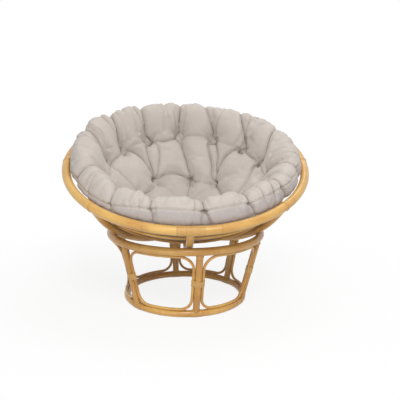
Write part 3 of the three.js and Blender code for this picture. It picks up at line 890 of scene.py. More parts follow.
class Pad:
    """The measures of the cushion in the bowl's own frame"""

    rows = 96
    rim_clearance = 0.0022
    pleat_width, pleat_power, pleat_run = 0.024, 1.15, 0.12
    tuck_width, tuck_power, tuck_run = 0.015, 1.3, 0.6
    second_depth, short_depth = 0.62, 0.48
    slid_start, slid_run, slid_out, slid_down, slid_flat, slid_low = 0.84, 0.16, 0.008, 0.040, 0.6, 0.66
    line_steps = 48

    def __init__(self, settings, poles):
        self.rim_radius, self.rim_room = poles.rim_radius, poles.rim_pole / 2 + self.rim_clearance
        self.outer_radius, self.inner_radius = settings.outer_radius, settings.inner_radius
        self.lie_radius, self.drop = settings.lie_radius, rim_drop(poles)
        self.shares = np.linspace(0, 1, self.rows)
        self.lobe, self.pleat = smooth_line(lobe_section, self.rows), smooth_line(pleat_section, self.rows)
        self.tufts, self.ends = np.radians(outer_turns), np.radians(pleat_ends)
        self.inner = np.radians(inner_turns)
        self.outer_share = self.share_at(self.outer_radius)
        self.inner_shares = [self.share_at(self.inner_radius + out) for out in inner_out]

    def share_at(self, radius):
        return float(np.interp(radius, self.pleat[:, 0], self.shares))

    def past_tufts(self, share):
        """0 at the outer tufts and 1 at the seam"""
        return eased((np.asarray(share) - self.outer_share) / (1 - self.outer_share))

    def pleat_turn(self, share):
        """The angle of each pleat at a share of the way from the middle to the seam"""
        return self.tufts + (self.ends - self.tufts) * self.past_tufts(share)[..., None]

    def across(self, angle, share):
        """How far a place is from its nearest pleat, and which lobe it is on"""
        turned = wrapped(np.asarray(angle)[..., None] - self.pleat_turn(share))
        radius = np.interp(share, self.shares, self.lobe[:, 0])
        away = np.abs(turned).min(axis=-1) * radius
        after = np.where(turned >= 0, turned, full_turn)
        return away, after.argmin(axis=-1)

    def top(self, share, angle):
        """A place on the upper face"""
        share, angle = np.broadcast_arrays(np.asarray(share, float), np.asarray(angle, float))
        away, lobe_index = self.across(angle, share)
        fade = eased((share - self.outer_share + self.pleat_run) / self.pleat_run)
        valley = np.exp(-((away / self.pleat_width) ** self.pleat_power)) * fade
        full = 1 - np.maximum(valley, self.side_valleys(share, angle))
        spots = []
        for axis in range(2):
            lobe, pleat = (np.interp(share, self.shares, line[:, axis]) for line in (self.lobe, self.pleat))
            spots.append(pleat + (lobe - pleat) * full)
        stand = full * self.past_tufts(share)
        slid = self.slid(angle) * eased((share - self.slid_start) / self.slid_run)
        radius = spots[0] + stand * np.array(lobe_out)[lobe_index] + self.slid_out * slid
        rise = stand * np.array(lobe_rise)[lobe_index] * (1 - self.slid_flat * slid)
        return spots_around(radius, angle, spots[1] + rise - self.slid_down * slid - self.drop)

    def seam(self, share=1.0):
        """Places all round the cushion, at its seam or at a share of the way to it"""
        return self.top(np.full(len(seam_turns), share), seam_turns)

    def slid(self, angle):
        """Where the seam has slid down towards the rim: 1 on the left, 0 elsewhere"""
        return np.exp(-((wrapped(np.asarray(angle) - math.radians(slid_turn)) / math.radians(slid_reach)) ** 4))

    def side_spots(self, angle):
        """The section of the side at an angle: radius and height"""
        low = 1 - self.slid_low * float(self.slid(angle))
        return [(radius, height * low) for radius, height in side_section]

    def side_pleats(self):
        """The second and the short pleats, each with its angles and shares of the way to the seam"""
        pleats = []
        for index, end in double_pleats:
            shares = np.linspace(self.outer_share + 0.04, 1, 40)
            turns = self.tufts[index] + (math.radians(end) - self.tufts[index]) * self.past_tufts(shares)
            pleats.append((self.second_depth, shares, turns))
        for end, length in short_pleats:
            shares = np.linspace(1 - length, 1, 30)
            bow = 0.03 * math.sin(end) * (1 - shares) / length
            pleats.append((self.short_depth, shares, math.radians(end) + bow))
        return pleats

    def side_valleys(self, share, angle):
        """How deep a place lies in the second and the short pleats"""
        valley = np.zeros(share.shape)
        radius = np.interp(share, self.shares, self.lobe[:, 0])
        for depth, shares, angles in self.side_pleats():
            away = np.abs(wrapped(angle - np.interp(share, shares, angles))) * radius
            fade = eased((share - shares[0]) / (self.tuck_run * (shares[-1] - shares[0])))
            valley = np.maximum(valley, depth * fade * np.exp(-((away / self.tuck_width) ** self.tuck_power)))
        return valley

    def across_to(self, start, end, bow, sag=0.0):
        """A line over the upper face between two places, each a share and an angle"""
        way = np.linspace(0, 1, self.line_steps)
        shares = start[0] + (end[0] - start[0]) * way - sag * np.sin(math.pi * way)
        angles = start[1] + wrapped(end[1] - start[1]) * way + bow * np.sin(math.pi * way**0.8)
        return self.top(shares, angles)

    def crease_lines(self):
        """The lines that the cloth is drawn in along: kind, places, depth, width and sharpness"""
        lines = []
        outer = [(self.outer_share, turn) for turn in self.tufts]
        inner = list(zip(self.inner_shares, self.inner))
        shares = np.linspace(self.outer_share, 1, 60)
        for turns in self.pleat_turn(shares).T:
            lines.append(("pleat", self.top(shares, turns), 0.0, 0.02, 1.0))
        for depth, along, turns in self.side_pleats():
            lines.append(("tuck", self.top(along, turns), 0.0, 0.02, depth))
        for first, second, bow, sharp in drawn_creases:
            line = self.across_to(outer[first], inner[second], bow)
            lines.append(("drawn", line, 0.006 + 0.018 * sharp, 0.024, sharp))
        for tufts, ring, least, more in ((outer, outer_ring, 0.0, 0.019), (inner, inner_ring, 0.004, 0.021)):
            for index, sag, sharp in ring:
                line = self.across_to(tufts[index], tufts[(index + 1) % len(tufts)], 0, sag)
                lines.append(("ring", line, least + more * sharp, 0.024, sharp))
        for index, sharp in spokes:
            line = self.across_to(inner[index], (0, inner[index][1]), 0)
            lines.append(("spoke", line, 0.014 * sharp, 0.022, sharp))
        return lines

    def band_lines(self):
        """The creases that run on from the pleats down the side of the cushion, and how sharp each is"""
        ends = [(math.degrees(end), 1.0, 0.030 + 0.015 * math.sin(3.1 * end)) for end in self.ends]
        ends += [*notch_folds, *((end, 0.6, -0.02) for _, end in double_pleats)]
        ends += [(end, 0.35, 0.03 * math.cos(end)) for end, _ in short_pleats]
        lines = []
        for end, sharp, lean in ends:
            end = math.radians(end)
            line = [self.top(np.ones(1), np.array([end]))[0]]
            for step, (radius, height) in enumerate(self.side_spots(end)):
                turn = end + lean * (step + 1) / 3
                line.append((radius * math.sin(turn), -radius * math.cos(turn), height - self.drop))
            lines.append((np.array(line), sharp * (1 - self.slid_flat * float(self.slid(end)))))
        return lines

    def under_lines(self):
        """Soft creases on the underside, from below each outer tuft up to the side and from each inner one"""
        lines = []
        climbs = [math.asin(radius / self.lie_radius) for radius in (self.inner_radius, self.outer_radius, 0.49)]
        for turns, start, end in ((self.tufts, climbs[1], climbs[2]), (self.inner, climbs[0], climbs[1])):
            for turn in turns:
                climb = np.linspace(start, end, 24)
                angle = turn + 0.05 * math.sin(5 * turn) * np.linspace(0, 1, 24)
                lines.append(spots_around(self.lie_radius * np.sin(climb), angle, -self.lie_radius * np.cos(climb)))
        return lines

    def tuft_places(self):
        outer = self.top(np.full(len(self.tufts), self.outer_share), self.tufts)
        inner = self.top(np.array(self.inner_shares), self.inner)
        return outer, inner, self.top(np.zeros(1), np.zeros(1))


def line_reach(points, line):
    """How far points are from a line, squared, and which of its corners is nearest"""
    gaps = points[:, None, :] - line[None]
    squares = np.einsum("ijk,ijk->ij", gaps, gaps)
    nearest = squares.argmin(axis=1)
    return squares[np.arange(len(points)), nearest], nearest


def near_line(points, line, margin):
    low, high = line.min(axis=0) - margin, line.max(axis=0) + margin
    return np.nonzero(((points > low) & (points < high)).all(axis=1))[0]


def cushion_form(pad):
    """Corners and faces of the stuffed form before its cloth is filled"""
    angles = full_turn * np.arange(columns) / columns
    upper = pad.top(pad.shares[None, 1:], angles[:, None])
    away, lobe_index = pad.across(angles, np.ones(columns))
    full = 1 - np.exp(-((away / edge_width) ** pad.pleat_power))
    edge_height = side_section[-1][1]
    edge_climb = math.acos((pad.drop - edge_height) / pad.lie_radius)
    under_climb = np.linspace(edge_climb, 0, rows_under + 1)[1:-1]
    under = np.stack([pad.lie_radius * np.sin(under_climb), pad.drop - pad.lie_radius * np.cos(under_climb)], axis=1)
    rings = []
    for column, angle in enumerate(angles):
        seam = upper[column, -1]
        start = [math.hypot(seam[0], seam[1]), seam[2] + pad.drop]
        shift = (full[column] - 1) * edge_in + full[column] * edge_out * lobe_out[lobe_index[column]]
        side = [[spot[0] + shift * step, spot[1]] for spot, step in zip(pad.side_spots(angle), (1, 1, 0.5))]
        side = smooth_line([start, *side, under[0]], rows_side + 2)[1:-1]
        low = np.vstack([side, under])
        turned = np.stack([low[:, 0] * math.sin(angle), -low[:, 0] * math.cos(angle), low[:, 1] - pad.drop], axis=1)
        rings.append(np.vstack([upper[column], turned]))
    rows = len(rings[0])
    corners = np.concatenate(rings)
    middle = pad.top(np.zeros(1), np.zeros(1))
    corners = np.vstack([corners, middle, [[0, 0, -pad.lie_radius]]])
    faces = []
    for column in range(columns):
        here, there = column * rows, ((column + 1) % columns) * rows
        faces.append((len(corners) - 2, here, there))
        faces += [(here + row, here + row + 1, there + row + 1, there + row) for row in range(rows - 1)]
        faces.append((here + rows - 1, len(corners) - 1, there + rows - 1))
    return corners, faces


def sew_creases(corners, pad):
    """Sinks the tufts and the creases between them into the upper face"""
    distance = np.linalg.norm(corners, axis=1)
    is_top = np.nonzero((distance < pad.lie_radius - top_over_ball) & (corners[:, 2] < top_over_rim - pad.drop))[0]
    chosen = corners[is_top]
    dip = np.zeros(len(chosen))
    for _, line, depth, width, _ in pad.crease_lines():
        near = near_line(chosen, line, 4 * width)
        squares, nearest = line_reach(chosen[near], line)
        fade = 1 - 0.35 * np.sin(math.pi * nearest / (len(line) - 1))
        dip[near] = np.maximum(dip[near], depth * fade * np.exp(-((np.sqrt(squares) / width) ** 1.15)))
    for spots, depth in zip(pad.tuft_places(), tuft_depths):
        for spot in spots:
            reach = np.linalg.norm(chosen - spot, axis=1)
            dip = np.maximum(dip, depth * np.exp(-((reach / tuft_width) ** 1.3)))
    bulge = bulge_height * (1 - np.exp(-((np.maximum(0, bulge_dip - dip) / bulge_dip) ** 2)))
    inner_share = np.clip((bulge_radius - np.hypot(chosen[:, 0], chosen[:, 1])) / bulge_edge, 0, 1)
    outward = chosen / np.linalg.norm(chosen, axis=1)[:, None]
    corners[is_top] = chosen + outward * (dip - bulge * inner_share)[:, None]


def new_mesh(name, corners, faces):
    mesh = bpy.data.meshes.new(name)
    mesh.from_pydata([tuple(corner) for corner in corners], [], faces)
    piece = bpy.data.objects.new(name, mesh)
    bpy.context.scene.collection.objects.link(piece)
    mend_surface(piece)
    return piece


def surface_tree(piece):
    return BVHTree.FromObject(piece, bpy.context.evaluated_depsgraph_get())


def laid(tree, line, step):
    """A line through places near a surface, laid on it in short steps, and the way off the surface at each"""
    length = lengths_along(line)[-1]
    even = spread_along(line, np.linspace(0, length, max(3, int(length / step))))
    found = [tree.find_nearest(Vector(spot))[:2] for spot in even]
    places, ups = zip(*found)
    return np.array([tuple(place) for place in places]), np.array([tuple(up) for up in ups])


def unit_rows(vectors):
    return vectors / np.maximum(np.linalg.norm(vectors, axis=1), 1e-9)[:, None]


def softened(rows):
    """Rows between the first and the last, each drawn towards its neighbours"""
    return (rows[:-2] + 2 * rows[1:-1] + rows[2:]) / 4


class Crease:
    """A smooth line on the surface, with its direction and the way across it at each corner"""

    step = 0.004
    line_turns, up_turns = 5, 16

    def __init__(self, tree, places):
        self.line, ups = laid(tree, places, self.step)
        for _ in range(self.line_turns):
            self.line[1:-1] = softened(self.line)
        for _ in range(self.up_turns):
            ups[1:-1] = softened(ups)
        self.ways = unit_rows(np.gradient(self.line, axis=0))
        self.sides = unit_rows(np.cross(ups, self.ways))

    def measure(self, points, margin):
        """The points near the line: which they are, how far to its side, past its ends and along it"""
        near = near_line(points, self.line, margin)
        squares, nearest = line_reach(points[near], self.line)
        gap = points[near] - self.line[nearest]
        side = np.einsum("ij,ij->i", gap, self.sides[nearest])
        along = np.abs(np.einsum("ij,ij->i", gap, self.ways[nearest]))
        past = np.maximum(along - 1.5 * self.step, 0) * ((nearest == 0) | (nearest == len(self.line) - 1))
        within = squares < margin**2
        return near[within], side[within], past[within], (nearest / (len(self.line) - 1))[within]


# How firmly the filling cloth is held along each kind of crease, and how wide round creases, seam and tufts
crease_grip = {"pleat": 0.8, "tuck": 0.7, "drawn": 0.75, "ring": 0.6, "spoke": 0.5}
seam_grip = 0.7
crease_hold, crease_hold_reach, seam_hold, tuft_hold = 0.012, 0.028, 0.007, 0.009
cloth_frames = 20

# The underside that is held: how far inside its ball, and up to which height over the rim
under_hold, under_top = 0.012, 0.004

# The grooves pressed into the filled cloth: how wide and deep, and how high the lip beside one
crease_width, crease_lip = 0.0072, 0.003
crease_depth = {"pleat": 0.010, "tuck": 0.009, "drawn": 0.011, "ring": 0.009, "spoke": 0.006}
band_width, band_depth = 0.0085, 0.010
under_width, under_depth = 0.018, 0.010
seam_width, seam_depth = 0.0050, 0.0035

# How wide and deep the cloth is drawn in at a tuft, under one, at a pleat's end and at the notch in the front
tuft_tie, under_tie, end_tie, notch_tie = (0.013, 0.009), (0.024, 0.010), (0.009, 0.004), (0.014, 0.010)

# How far the painted shade line reaches from its crease
mark_reach = 0.009

# How dark the painted shade is along the seam, the underside's creases, the folds and the long folds
seam_dark, under_dark, side_dark, fold_dark, long_dark = 0.26, 0.45, 0.40, 0.5, 0.30


def holds(piece, pad):
    """How firmly each corner is held while the cloth fills"""
    points = mesh_points(piece)
    tree = surface_tree(piece)
    height = points[:, 2] + pad.drop
    distance = np.linalg.norm(points, axis=1)
    held = ((distance > pad.lie_radius - under_hold) & (height < under_top)).astype(float)
    for kind, places, _, _, sharp in pad.crease_lines():
        near, side, past, share = Crease(tree, places).measure(points, crease_hold_reach)
        fade = (1 - 0.3 * share if kind == "pleat" else 1.0) * (0.4 + 0.6 * sharp)
        firm = fade * crease_grip[kind] * np.exp(-((np.hypot(side, past) / crease_hold) ** 3))
        held[near] = np.maximum(held[near], firm)
    turns = np.arctan2(points[:, 0], -points[:, 1])
    sewn = pad.top(np.ones(len(points)), turns)
    seam = np.linalg.norm(points - sewn, axis=1)
    held = np.maximum(held, seam_grip * np.clip(1.5 - seam / seam_hold, 0, 1))
    for spots in pad.tuft_places():
        for spot in spots:
            place = np.array(tree.find_nearest(Vector(spot * 1.05))[0])
            held = np.maximum(held, np.clip(1.8 - np.linalg.norm(points - place, axis=1) / tuft_hold, 0, 1))
    return held


def weigh(piece, name, weights):
    """Makes a group of the corners whose weight is not zero"""
    group = piece.vertex_groups.new(name=name)
    for index in np.nonzero(weights)[0]:
        group.add([int(index)], float(weights[index]), "REPLACE")


def fill_cloth(piece, pad, settings):
    """Lets the cloth swell and crease round its tufts"""
    before = mesh_points(piece)
    radius = np.hypot(before[:, 0], before[:, 1])
    weigh(piece, "held", holds(piece, pad))
    weigh(piece, "even", 1 - eased((radius - pad.inner_radius) / (pad.outer_radius - pad.inner_radius)))
    modifier = piece.modifiers.new("Cloth", "CLOTH")
    cloth = {
        "quality": 5,
        "mass": 0.25,
        "tension_stiffness": 14,
        "compression_stiffness": 14,
        "shear_stiffness": 6,
        "bending_stiffness": settings.stiffness,
        "use_pressure": True,
        "uniform_pressure_force": settings.pressure,
        "vertex_group_shrink": "even",
        "shrink_min": -settings.fullness,
        "shrink_max": -0.01,
        "vertex_group_mass": "held",
    }
    for key, value in cloth.items():
        setattr(modifier.settings, key, value)
    modifier.settings.effector_weights.gravity = 0
    modifier.point_cache.frame_start = 1
    modifier.point_cache.frame_end = cloth_frames
    for step in range(1, cloth_frames + 1):
        bpy.context.scene.frame_set(step)
    moved = mesh_points(piece.evaluated_get(bpy.context.evaluated_depsgraph_get())) - before
    piece.modifiers.remove(modifier)
    bpy.context.scene.frame_set(1)
    size = np.linalg.norm(moved, axis=1)
    capped = np.minimum(size, settings.reach) / np.maximum(size, 1e-9)
    set_mesh_points(piece, clear_of_rim(before + moved * capped[:, None], pad))


def clear_of_rim(points, pad):
    """Keeps the cloth a little way off the rim and its windings"""
    radius = np.hypot(points[:, 0], points[:, 1])
    out, over = radius - pad.rim_radius, points[:, 2] + pad.drop
    gap = np.hypot(out, over)
    close = np.nonzero(gap < pad.rim_room)[0]
    grown = pad.rim_room / np.maximum(gap[close], 1e-6)
    kept = points.copy()
    kept_radius = pad.rim_radius + out[close] * grown
    kept[close, :2] *= (kept_radius / radius[close])[:, None]
    kept[close, 2] = over[close] * grown - pad.drop
    return kept


class Folds:
    """Creases pressed into the filled cloth along lines on its surface, and where painted shade goes along them"""

    groove_power, lip_away, lip_width = 1.9, 2.0, 1.2
    end_run, end_power, crossing = 0.3, 0.6, 0.3
    tie_power, tie_keep = 1.6, 0.4

    def __init__(self, piece, pad):
        self.piece, self.pad = piece, pad
        self.points = mesh_points(piece)
        self.normals = gathered(piece.data.vertex_normals, "vector", 3)
        self.moved = np.zeros(len(self.points))
        self.marks, self.sharp = np.ones(len(self.points)), np.zeros(len(self.points))
        self.ties = np.zeros(len(self.points))
        self.tree = surface_tree(piece)

    def line(self, places):
        """A crease through places given as shares and angles"""
        shares, angles = np.array(places).T
        return self.crease(self.pad.top(np.clip(shares, 0, 1), angles))

    def crease(self, places):
        return Crease(self.tree, places)

    def press(self, crease, width, depth, lip=0.0, start=1.0, end=0.0):
        """Sinks a groove along a crease, with a lip raised on one side of it"""
        near, side, past, share = crease.measure(self.points, 4 * width)
        if not len(near):
            return
        fade = start + (end - start) * share
        if end == 0:
            fade = fade * np.clip((1 - share) / self.end_run, 0, 1) ** self.end_power
        groove = -depth * np.exp(-((np.hypot(side, past) / width) ** self.groove_power))
        ridge = lip * np.exp(-(((side - self.lip_away * width) / (self.lip_width * width)) ** 2)) * (past == 0)
        shift = (groove + ridge) * fade
        deeper = np.abs(shift) > np.abs(self.moved[near])
        self.moved[near] = np.where(deeper, shift, self.moved[near] + shift * self.crossing)

    def tie(self, spot, width, depth):
        """Sinks the cloth where a tuft holds it down, and notes the dimple for its painted shade"""
        place = np.array(self.tree.find_nearest(Vector(spot))[0])
        away = np.linalg.norm(self.points - place, axis=1)
        sunk = -depth * np.exp(-((away / width) ** self.tie_power))
        self.moved = np.minimum(self.moved, sunk + self.tie_keep * self.moved)
        self.ties = np.maximum(self.ties, np.clip(1.25 - away / (0.75 * width), 0, 1))

    def mark(self, crease, strength, start=1.0, end=1.0):
        """Notes how far each corner is from the crease, for the painted shade along it"""
        near, side, past, share = crease.measure(self.points, 0.02)
        reach = np.hypot(side, past)
        strong = strength * (start + (end - start) * share) * (past == 0) * np.clip(1.6 - reach / mark_reach, 0, 1)
        nearer = reach < np.abs(self.marks[near])
        self.marks[near[nearer]] = np.copysign(reach, side)[nearer]
        self.sharp[near[nearer]] = strong[nearer]

    def fold(self, crease, width, depth, lip, fade=(1.0, 0.0), dark=0.0, dark_fade=(1.0, 0.0)):
        """Presses a fold, and marks painted shade along it if it has one"""
        self.press(crease, width, depth, lip, *fade)
        if dark:
            self.mark(crease, dark, *dark_fade)

    def done(self):
        set_mesh_points(self.piece, self.points + self.normals * self.moved[:, None])


def fold_cloth(piece, pad):
    """Presses the creases between the tufts and the folds that run out from them, and gives back where painted shade
    goes along them and at the tufts
    """
    draw = random.Random("cushion folds")
    folds = Folds(piece, pad)
    for kind, places, _, _, sharp in pad.crease_lines():
        lip = crease_lip * sharp * draw.choice((-1, 1))
        depth, dark_fade = crease_depth[kind] * sharp, (0.0, 1.3) if kind == "tuck" else (1.0, 0.9)
        folds.fold(folds.crease(places), crease_width, depth, lip, (1.0, 0.8), sharp, dark_fade)
    for places, sharp in pad.band_lines():
        lip = crease_lip * draw.choice((-1, 1))
        folds.fold(folds.crease(places), band_width, band_depth * sharp, lip, (1.0, 0.6), sharp, (1.0, 0.5))
    for places in pad.under_lines():
        folds.fold(folds.crease(places), under_width, under_depth, 0.0, (1.0, 0.2), under_dark, (1.0, 0.1))
        folds.tie(places[0], *under_tie)
    folds.mark(folds.crease(pad.seam()), seam_dark)
    for index, spot in enumerate(pad.top(np.ones(len(pad.ends)), pad.ends)):
        folds.tie(spot, *(end_tie if index else notch_tie))
    for spots in pad.tuft_places():
        for spot in spots:
            folds.tie(spot, *tuft_tie)
    fold_lobes(folds, pad, draw)
    fold_long(folds, pad, random.Random("long folds"))
    for share, angle in zip(pad.inner_shares, pad.inner):
        for spoke in range(3):
            way = full_turn * (spoke + draw.uniform(-0.25, 0.25)) / 3
            size = draw.uniform(0.06, 0.12)
            crease = folds.line([(share, angle), (share + size * math.cos(way), angle + size * math.sin(way) * 2.2)])
            folds.fold(crease, draw.uniform(0.008, 0.011), draw.uniform(0.005, 0.009), 0.002, dark=fold_dark)
    folds.done()
    # Where painted shade goes: the reach to the nearest crease and how dark, with values above 1 for the dimples at the
    # tufts
    return folds.marks, np.where(folds.ties > 0, 1 + folds.ties, np.minimum(folds.sharp, 1))


def fold_lobes(folds, pad, draw):
    """Folds beside each pleat, from its tuft to both sides and short ones that start at the seam"""
    outer, step = pad.outer_share, full_turn / len(pad.tufts)
    for angle, end in zip(pad.tufts, pad.ends):
        for side in (-1, 1):
            if draw.random() < 0.8:
                shift = side * draw.uniform(0.05, 0.11)
                middle = ((1 + outer) / 2, (angle + end) / 2 + shift)
                crease = folds.line([(outer + 0.02, angle + shift * 0.15), middle, (1.0, end + shift)])
                width, depth = draw.uniform(0.008, 0.012), draw.uniform(0.004, 0.009)
                folds.fold(crease, width, depth, crease_lip * side, (1.0, 0.3), side_dark)
            if draw.random() < 0.7:
                reach = side * draw.uniform(0.30, 0.50) * step
                rise = draw.uniform(0.02, 0.07)
                middle = (outer + rise * 0.5, angle + reach * 0.5)
                crease = folds.line([(outer, angle), middle, (outer + rise, angle + reach)])
                folds.fold(crease, draw.uniform(0.008, 0.011), draw.uniform(0.006, 0.010), crease_lip, dark=fold_dark)
        for _ in range(draw.choice((0, 1, 2))):
            start = end + draw.uniform(-0.5, 0.5) * step
            length = draw.uniform(0.10, 0.20)
            bow = draw.uniform(-0.05, 0.05)
            crease = folds.line([(1.0, start), (1 - length * 0.5, start + bow), (1 - length, start + bow * 2.2)])
            width, depth = draw.uniform(0.008, 0.012), draw.uniform(0.004, 0.007)
            folds.fold(crease, width, depth, crease_lip * draw.choice((-1, 1)))


def fold_long(folds, pad, draw):
    """Two long soft folds on each lobe, from near the seam inwards"""
    start_share, step = 0.96, full_turn / len(pad.tufts)
    for end in pad.ends:
        for place in (0.3, 0.68):
            start = end + (place + draw.uniform(-0.1, 0.1)) * step
            length = draw.uniform(0.16, 0.34)
            bow = draw.uniform(-0.07, 0.07)
            middle = (start_share - length / 2, start + bow)
            crease = folds.line([(start_share, start), middle, (start_share - length, start + 1.6 * bow)])
            lip = 0.004 * draw.choice((-1, 1))
            width, depth = draw.uniform(0.009, 0.013), draw.uniform(0.006, 0.009)
            folds.fold(crease, width, depth, lip, (0.6, 1.0), long_dark, (0.5, 0.5))


def press_seam(piece, pad):
    """Pulls the cloth in along the seam, with fine gathers under and over it"""
    draw = random.Random("cushion seam")
    folds = Folds(piece, pad)
    folds.press(folds.crease(pad.seam()), seam_width, seam_depth, 0.0, 1.0, 0.999)
    gathers = 70
    for index in range(gathers):
        angle = full_turn * (index + draw.uniform(-0.45, 0.45)) / gathers
        length = draw.uniform(0.02, 0.075)
        over = folds.line([(1.0, angle), (1.0 - length, angle + draw.uniform(-0.025, 0.025))])
        folds.press(over, draw.uniform(0.0050, 0.0080), draw.uniform(0.0008, 0.0022), 0.0008)
        top = over.line[0]
        down = top + np.array([0, 0, -draw.uniform(0.02, 0.06)])
        under = folds.crease(np.array([top, (top + down) / 2, down]))
        folds.press(under, draw.uniform(0.006, 0.012), draw.uniform(0.001, 0.004), 0.001)
    folds.done()


# Where the stitches lie on the way from the middle to the seam, and a stitch's rings: place along it, width and lift
stitch_share = 0.988
stitch_rings = ((-0.62, 0.35, -0.9), (-0.5, 0.8, -0.3), (0.0, 1.0, 0.35), (0.5, 0.8, -0.3), (0.62, 0.35, -0.9))


def sew_seam(piece, pad, settings):
    """Short stitches along the seam, lying on the cloth"""
    seam, ups = laid(surface_tree(piece), pad.seam(stitch_share), settings.stitch_step / 2)
    corners, faces = [], []
    sides, thread = 6, settings.thread / 2
    for start in range(0, len(seam) - 2, 2):
        way = seam[start + 1] - seam[start]
        length = np.linalg.norm(way)
        if length < 1e-4:
            continue
        way = way / length
        place = (seam[start] + seam[start + 1]) / 2
        outward = ups[start] + ups[start + 1]
        outward -= way * (outward @ way)
        outward /= np.linalg.norm(outward)
        across = np.cross(way, outward)
        base = len(corners)
        for share, width, lift in stitch_rings:
            middle = place + way * share * length + outward * lift * thread
            for side in range(sides):
                turn = full_turn * side / sides
                corners.append(middle + thread * width * (math.cos(turn) * across + math.sin(turn) * outward))
        for ring in range(len(stitch_rings) - 1):
            low, high = base + ring * sides, base + (ring + 1) * sides
            faces += [(low + k, low + (k + 1) % sides, high + (k + 1) % sides, high + k) for k in range(sides)]
        faces.append(tuple(base + k for k in reversed(range(sides))))
        faces.append(tuple(high + k for k in range(sides)))
    stitches = new_mesh("seam_stitches", corners, faces)
    settle(stitches, bowl_place)
    return stitches


def map_cloth(piece, pad, marks, sharp):
    """Lays the threads of the cloth over the pad, in metres from its middle, notes where its creases lie for their
    painted shade, and marks the side below the seam for its painted shade
    """
    points = mesh_points(piece)
    climb = np.arccos(np.clip(-points[:, 2] / np.linalg.norm(points, axis=1), -1, 1))
    turn = np.arctan2(points[:, 0], -points[:, 1])
    owners = corner_owners(piece)
    set_corner_uvs(piece, "Cloth", spots_around(climb * pad.lie_radius, turn, climb)[owners, :2])
    set_corner_uvs(piece, "Creases", np.stack([marks, sharp], axis=1)[owners])
    seam = pad.top(np.ones(len(points)), turn)
    outside = np.linalg.norm(points, axis=1) - np.linalg.norm(seam, axis=1)
    outwards = np.hypot(points[:, 0], points[:, 1]) - np.hypot(seam[:, 0], seam[:, 1])
    below = band_out * outwards - band_down * (points[:, 2] - seam[:, 2])
    share = np.clip(outside / band_edge, 0, 1) * np.clip(below / band_edge, 0, 1)
    band = piece.data.attributes.new("Band", "FLOAT", "POINT")
    band.data.foreach_set("value", share.astype(np.float32))


def weave_group():
    """Plain woven cloth: crossing threads, thicker slubs and a faint mottling, with painted shade in its creases, at
    its tufts, in the seat's hollow and on the side below the seam
    """
    tree, given = new_group(
        "Plain Weave",
        Surface=None,
        Creases=None,
        Place=None,
        Thread_Pitch=0.0013,
        Cloth=(0.5, 0.46, 0.42, 1),
        Shade=(0.36, 0.31, 0.28, 1),
        Band=0.0,
        Band_Color=(0.47, 0.437, 0.44, 1),
        Crease_Color=(0.14, 0.11, 0.09, 1),
        Roughness=0.86,
    )
    surface = given["Surface"]
    parts = parts_of(tree, surface)
    turns = [calculate(tree, "DIVIDE", times(tree, parts[axis], math.pi), given["Thread Pitch"]) for axis in (0, 1)]
    waves = [calculate(tree, "SINE", turn) for turn in turns]
    warp, weft = (calculate(tree, "ABSOLUTE", wave) for wave in waves)
    over = times_plus(tree, times(tree, waves[0], waves[1]), 0.5, 0.5)
    threads = plus(tree, times(tree, over, warp), times(tree, minus(tree, 1.0, over), weft))
    slubs = larger(
        tree,
        fibre_noise(tree, surface, 30.0, 620.0, 2.0, 0.5),
        fibre_noise(tree, surface, 620.0, 30.0, 2.0, 0.5),
    )
    mottle = noise(tree, given["Place"], 11.0, 3.0, 0.55)
    creases = noise(tree, given["Place"], 38.0, 2.0, 0.5)
    dark = times_plus(tree, minus(tree, 1.0, threads), 0.30, ramp(tree, slubs, 0.52, 0.72, 0.0, 0.16))
    dark = plus(tree, dark, ramp(tree, mottle, 0.35, 0.70, 0.0, 0.12))
    # Painted shade along the creases: a dark line whose reach and darkness come from the Creases map
    crease = parts_of(tree, given["Creases"])
    away = calculate(tree, "ABSOLUTE", crease[0])
    broken = ramp(tree, noise(tree, given["Place"], 24.0, 2.0, 0.5), 0.36, 0.62, 0.35, 1.0)
    sharp = calculate(tree, "MINIMUM", crease[1], 1.0)
    line = times(tree, ramp(tree, away, 0.0003, 0.0026, 1.0, 0.0), times(tree, sharp, broken))
    # Painted shade in the dimple round each tuft, where the second channel is above 1
    line = larger(tree, line, ramp(tree, crease[1], 1.15, 2.0, 0.0, 0.8))
    # Softer painted shade to each side of a crease
    side = times(tree, ramp(tree, away, 0.0, 0.0150, 0.60, 0.0), sharp)
    # Painted shade in the seat's hollow, darker towards its middle
    dark = plus(tree, dark, ramp(tree, reach_of(tree, surface), 0.10, 0.40, 0.30, 0.0))
    # Painted shade on the side below the seam: a darker, cooler copy of the cloth
    cloth = mixed(tree, given["Band"], given["Cloth"], given["Band Color"])
    cloth = mixed(tree, dark, cloth, given["Shade"])
    cloth = mixed(tree, side, cloth, given["Shade"])
    cloth = mixed(tree, times(tree, line, 0.85), cloth, given["Crease Color"])
    rough = times_plus(tree, mottle, 0.12, minus(tree, given["Roughness"], 0.06))
    relief = times_plus(tree, threads, 0.16, times(tree, slubs, 0.14))
    relief = times_plus(tree, creases, 1.1, relief)
    return give_out(tree, cloth, rough, times_plus(tree, line, -0.6, relief))


def cloth_material(settings):
    material, tree = fresh_material("Woven cover")
    values = {
        "Surface": uv_map(tree, "Cloth"),
        "Creases": uv_map(tree, "Creases"),
        "Place": own_place(tree),
        "Band": put(tree, "ShaderNodeAttribute", attribute_name="Band").outputs["Fac"],
        "Band Color": opaque(settings.band),
        "Thread Pitch": settings.thread_pitch,
        "Cloth": opaque(settings.cloth),
        "Shade": opaque(settings.shade),
        "Crease Color": opaque(settings.crease),
    }
    weave = put(tree, "ShaderNodeGroup", values, node_tree=weave_group())
    finish_material(tree, weave.outputs, 0.0022, 0.7, Sheen_Weight=0.18, Sheen_Roughness=0.45)
    return material


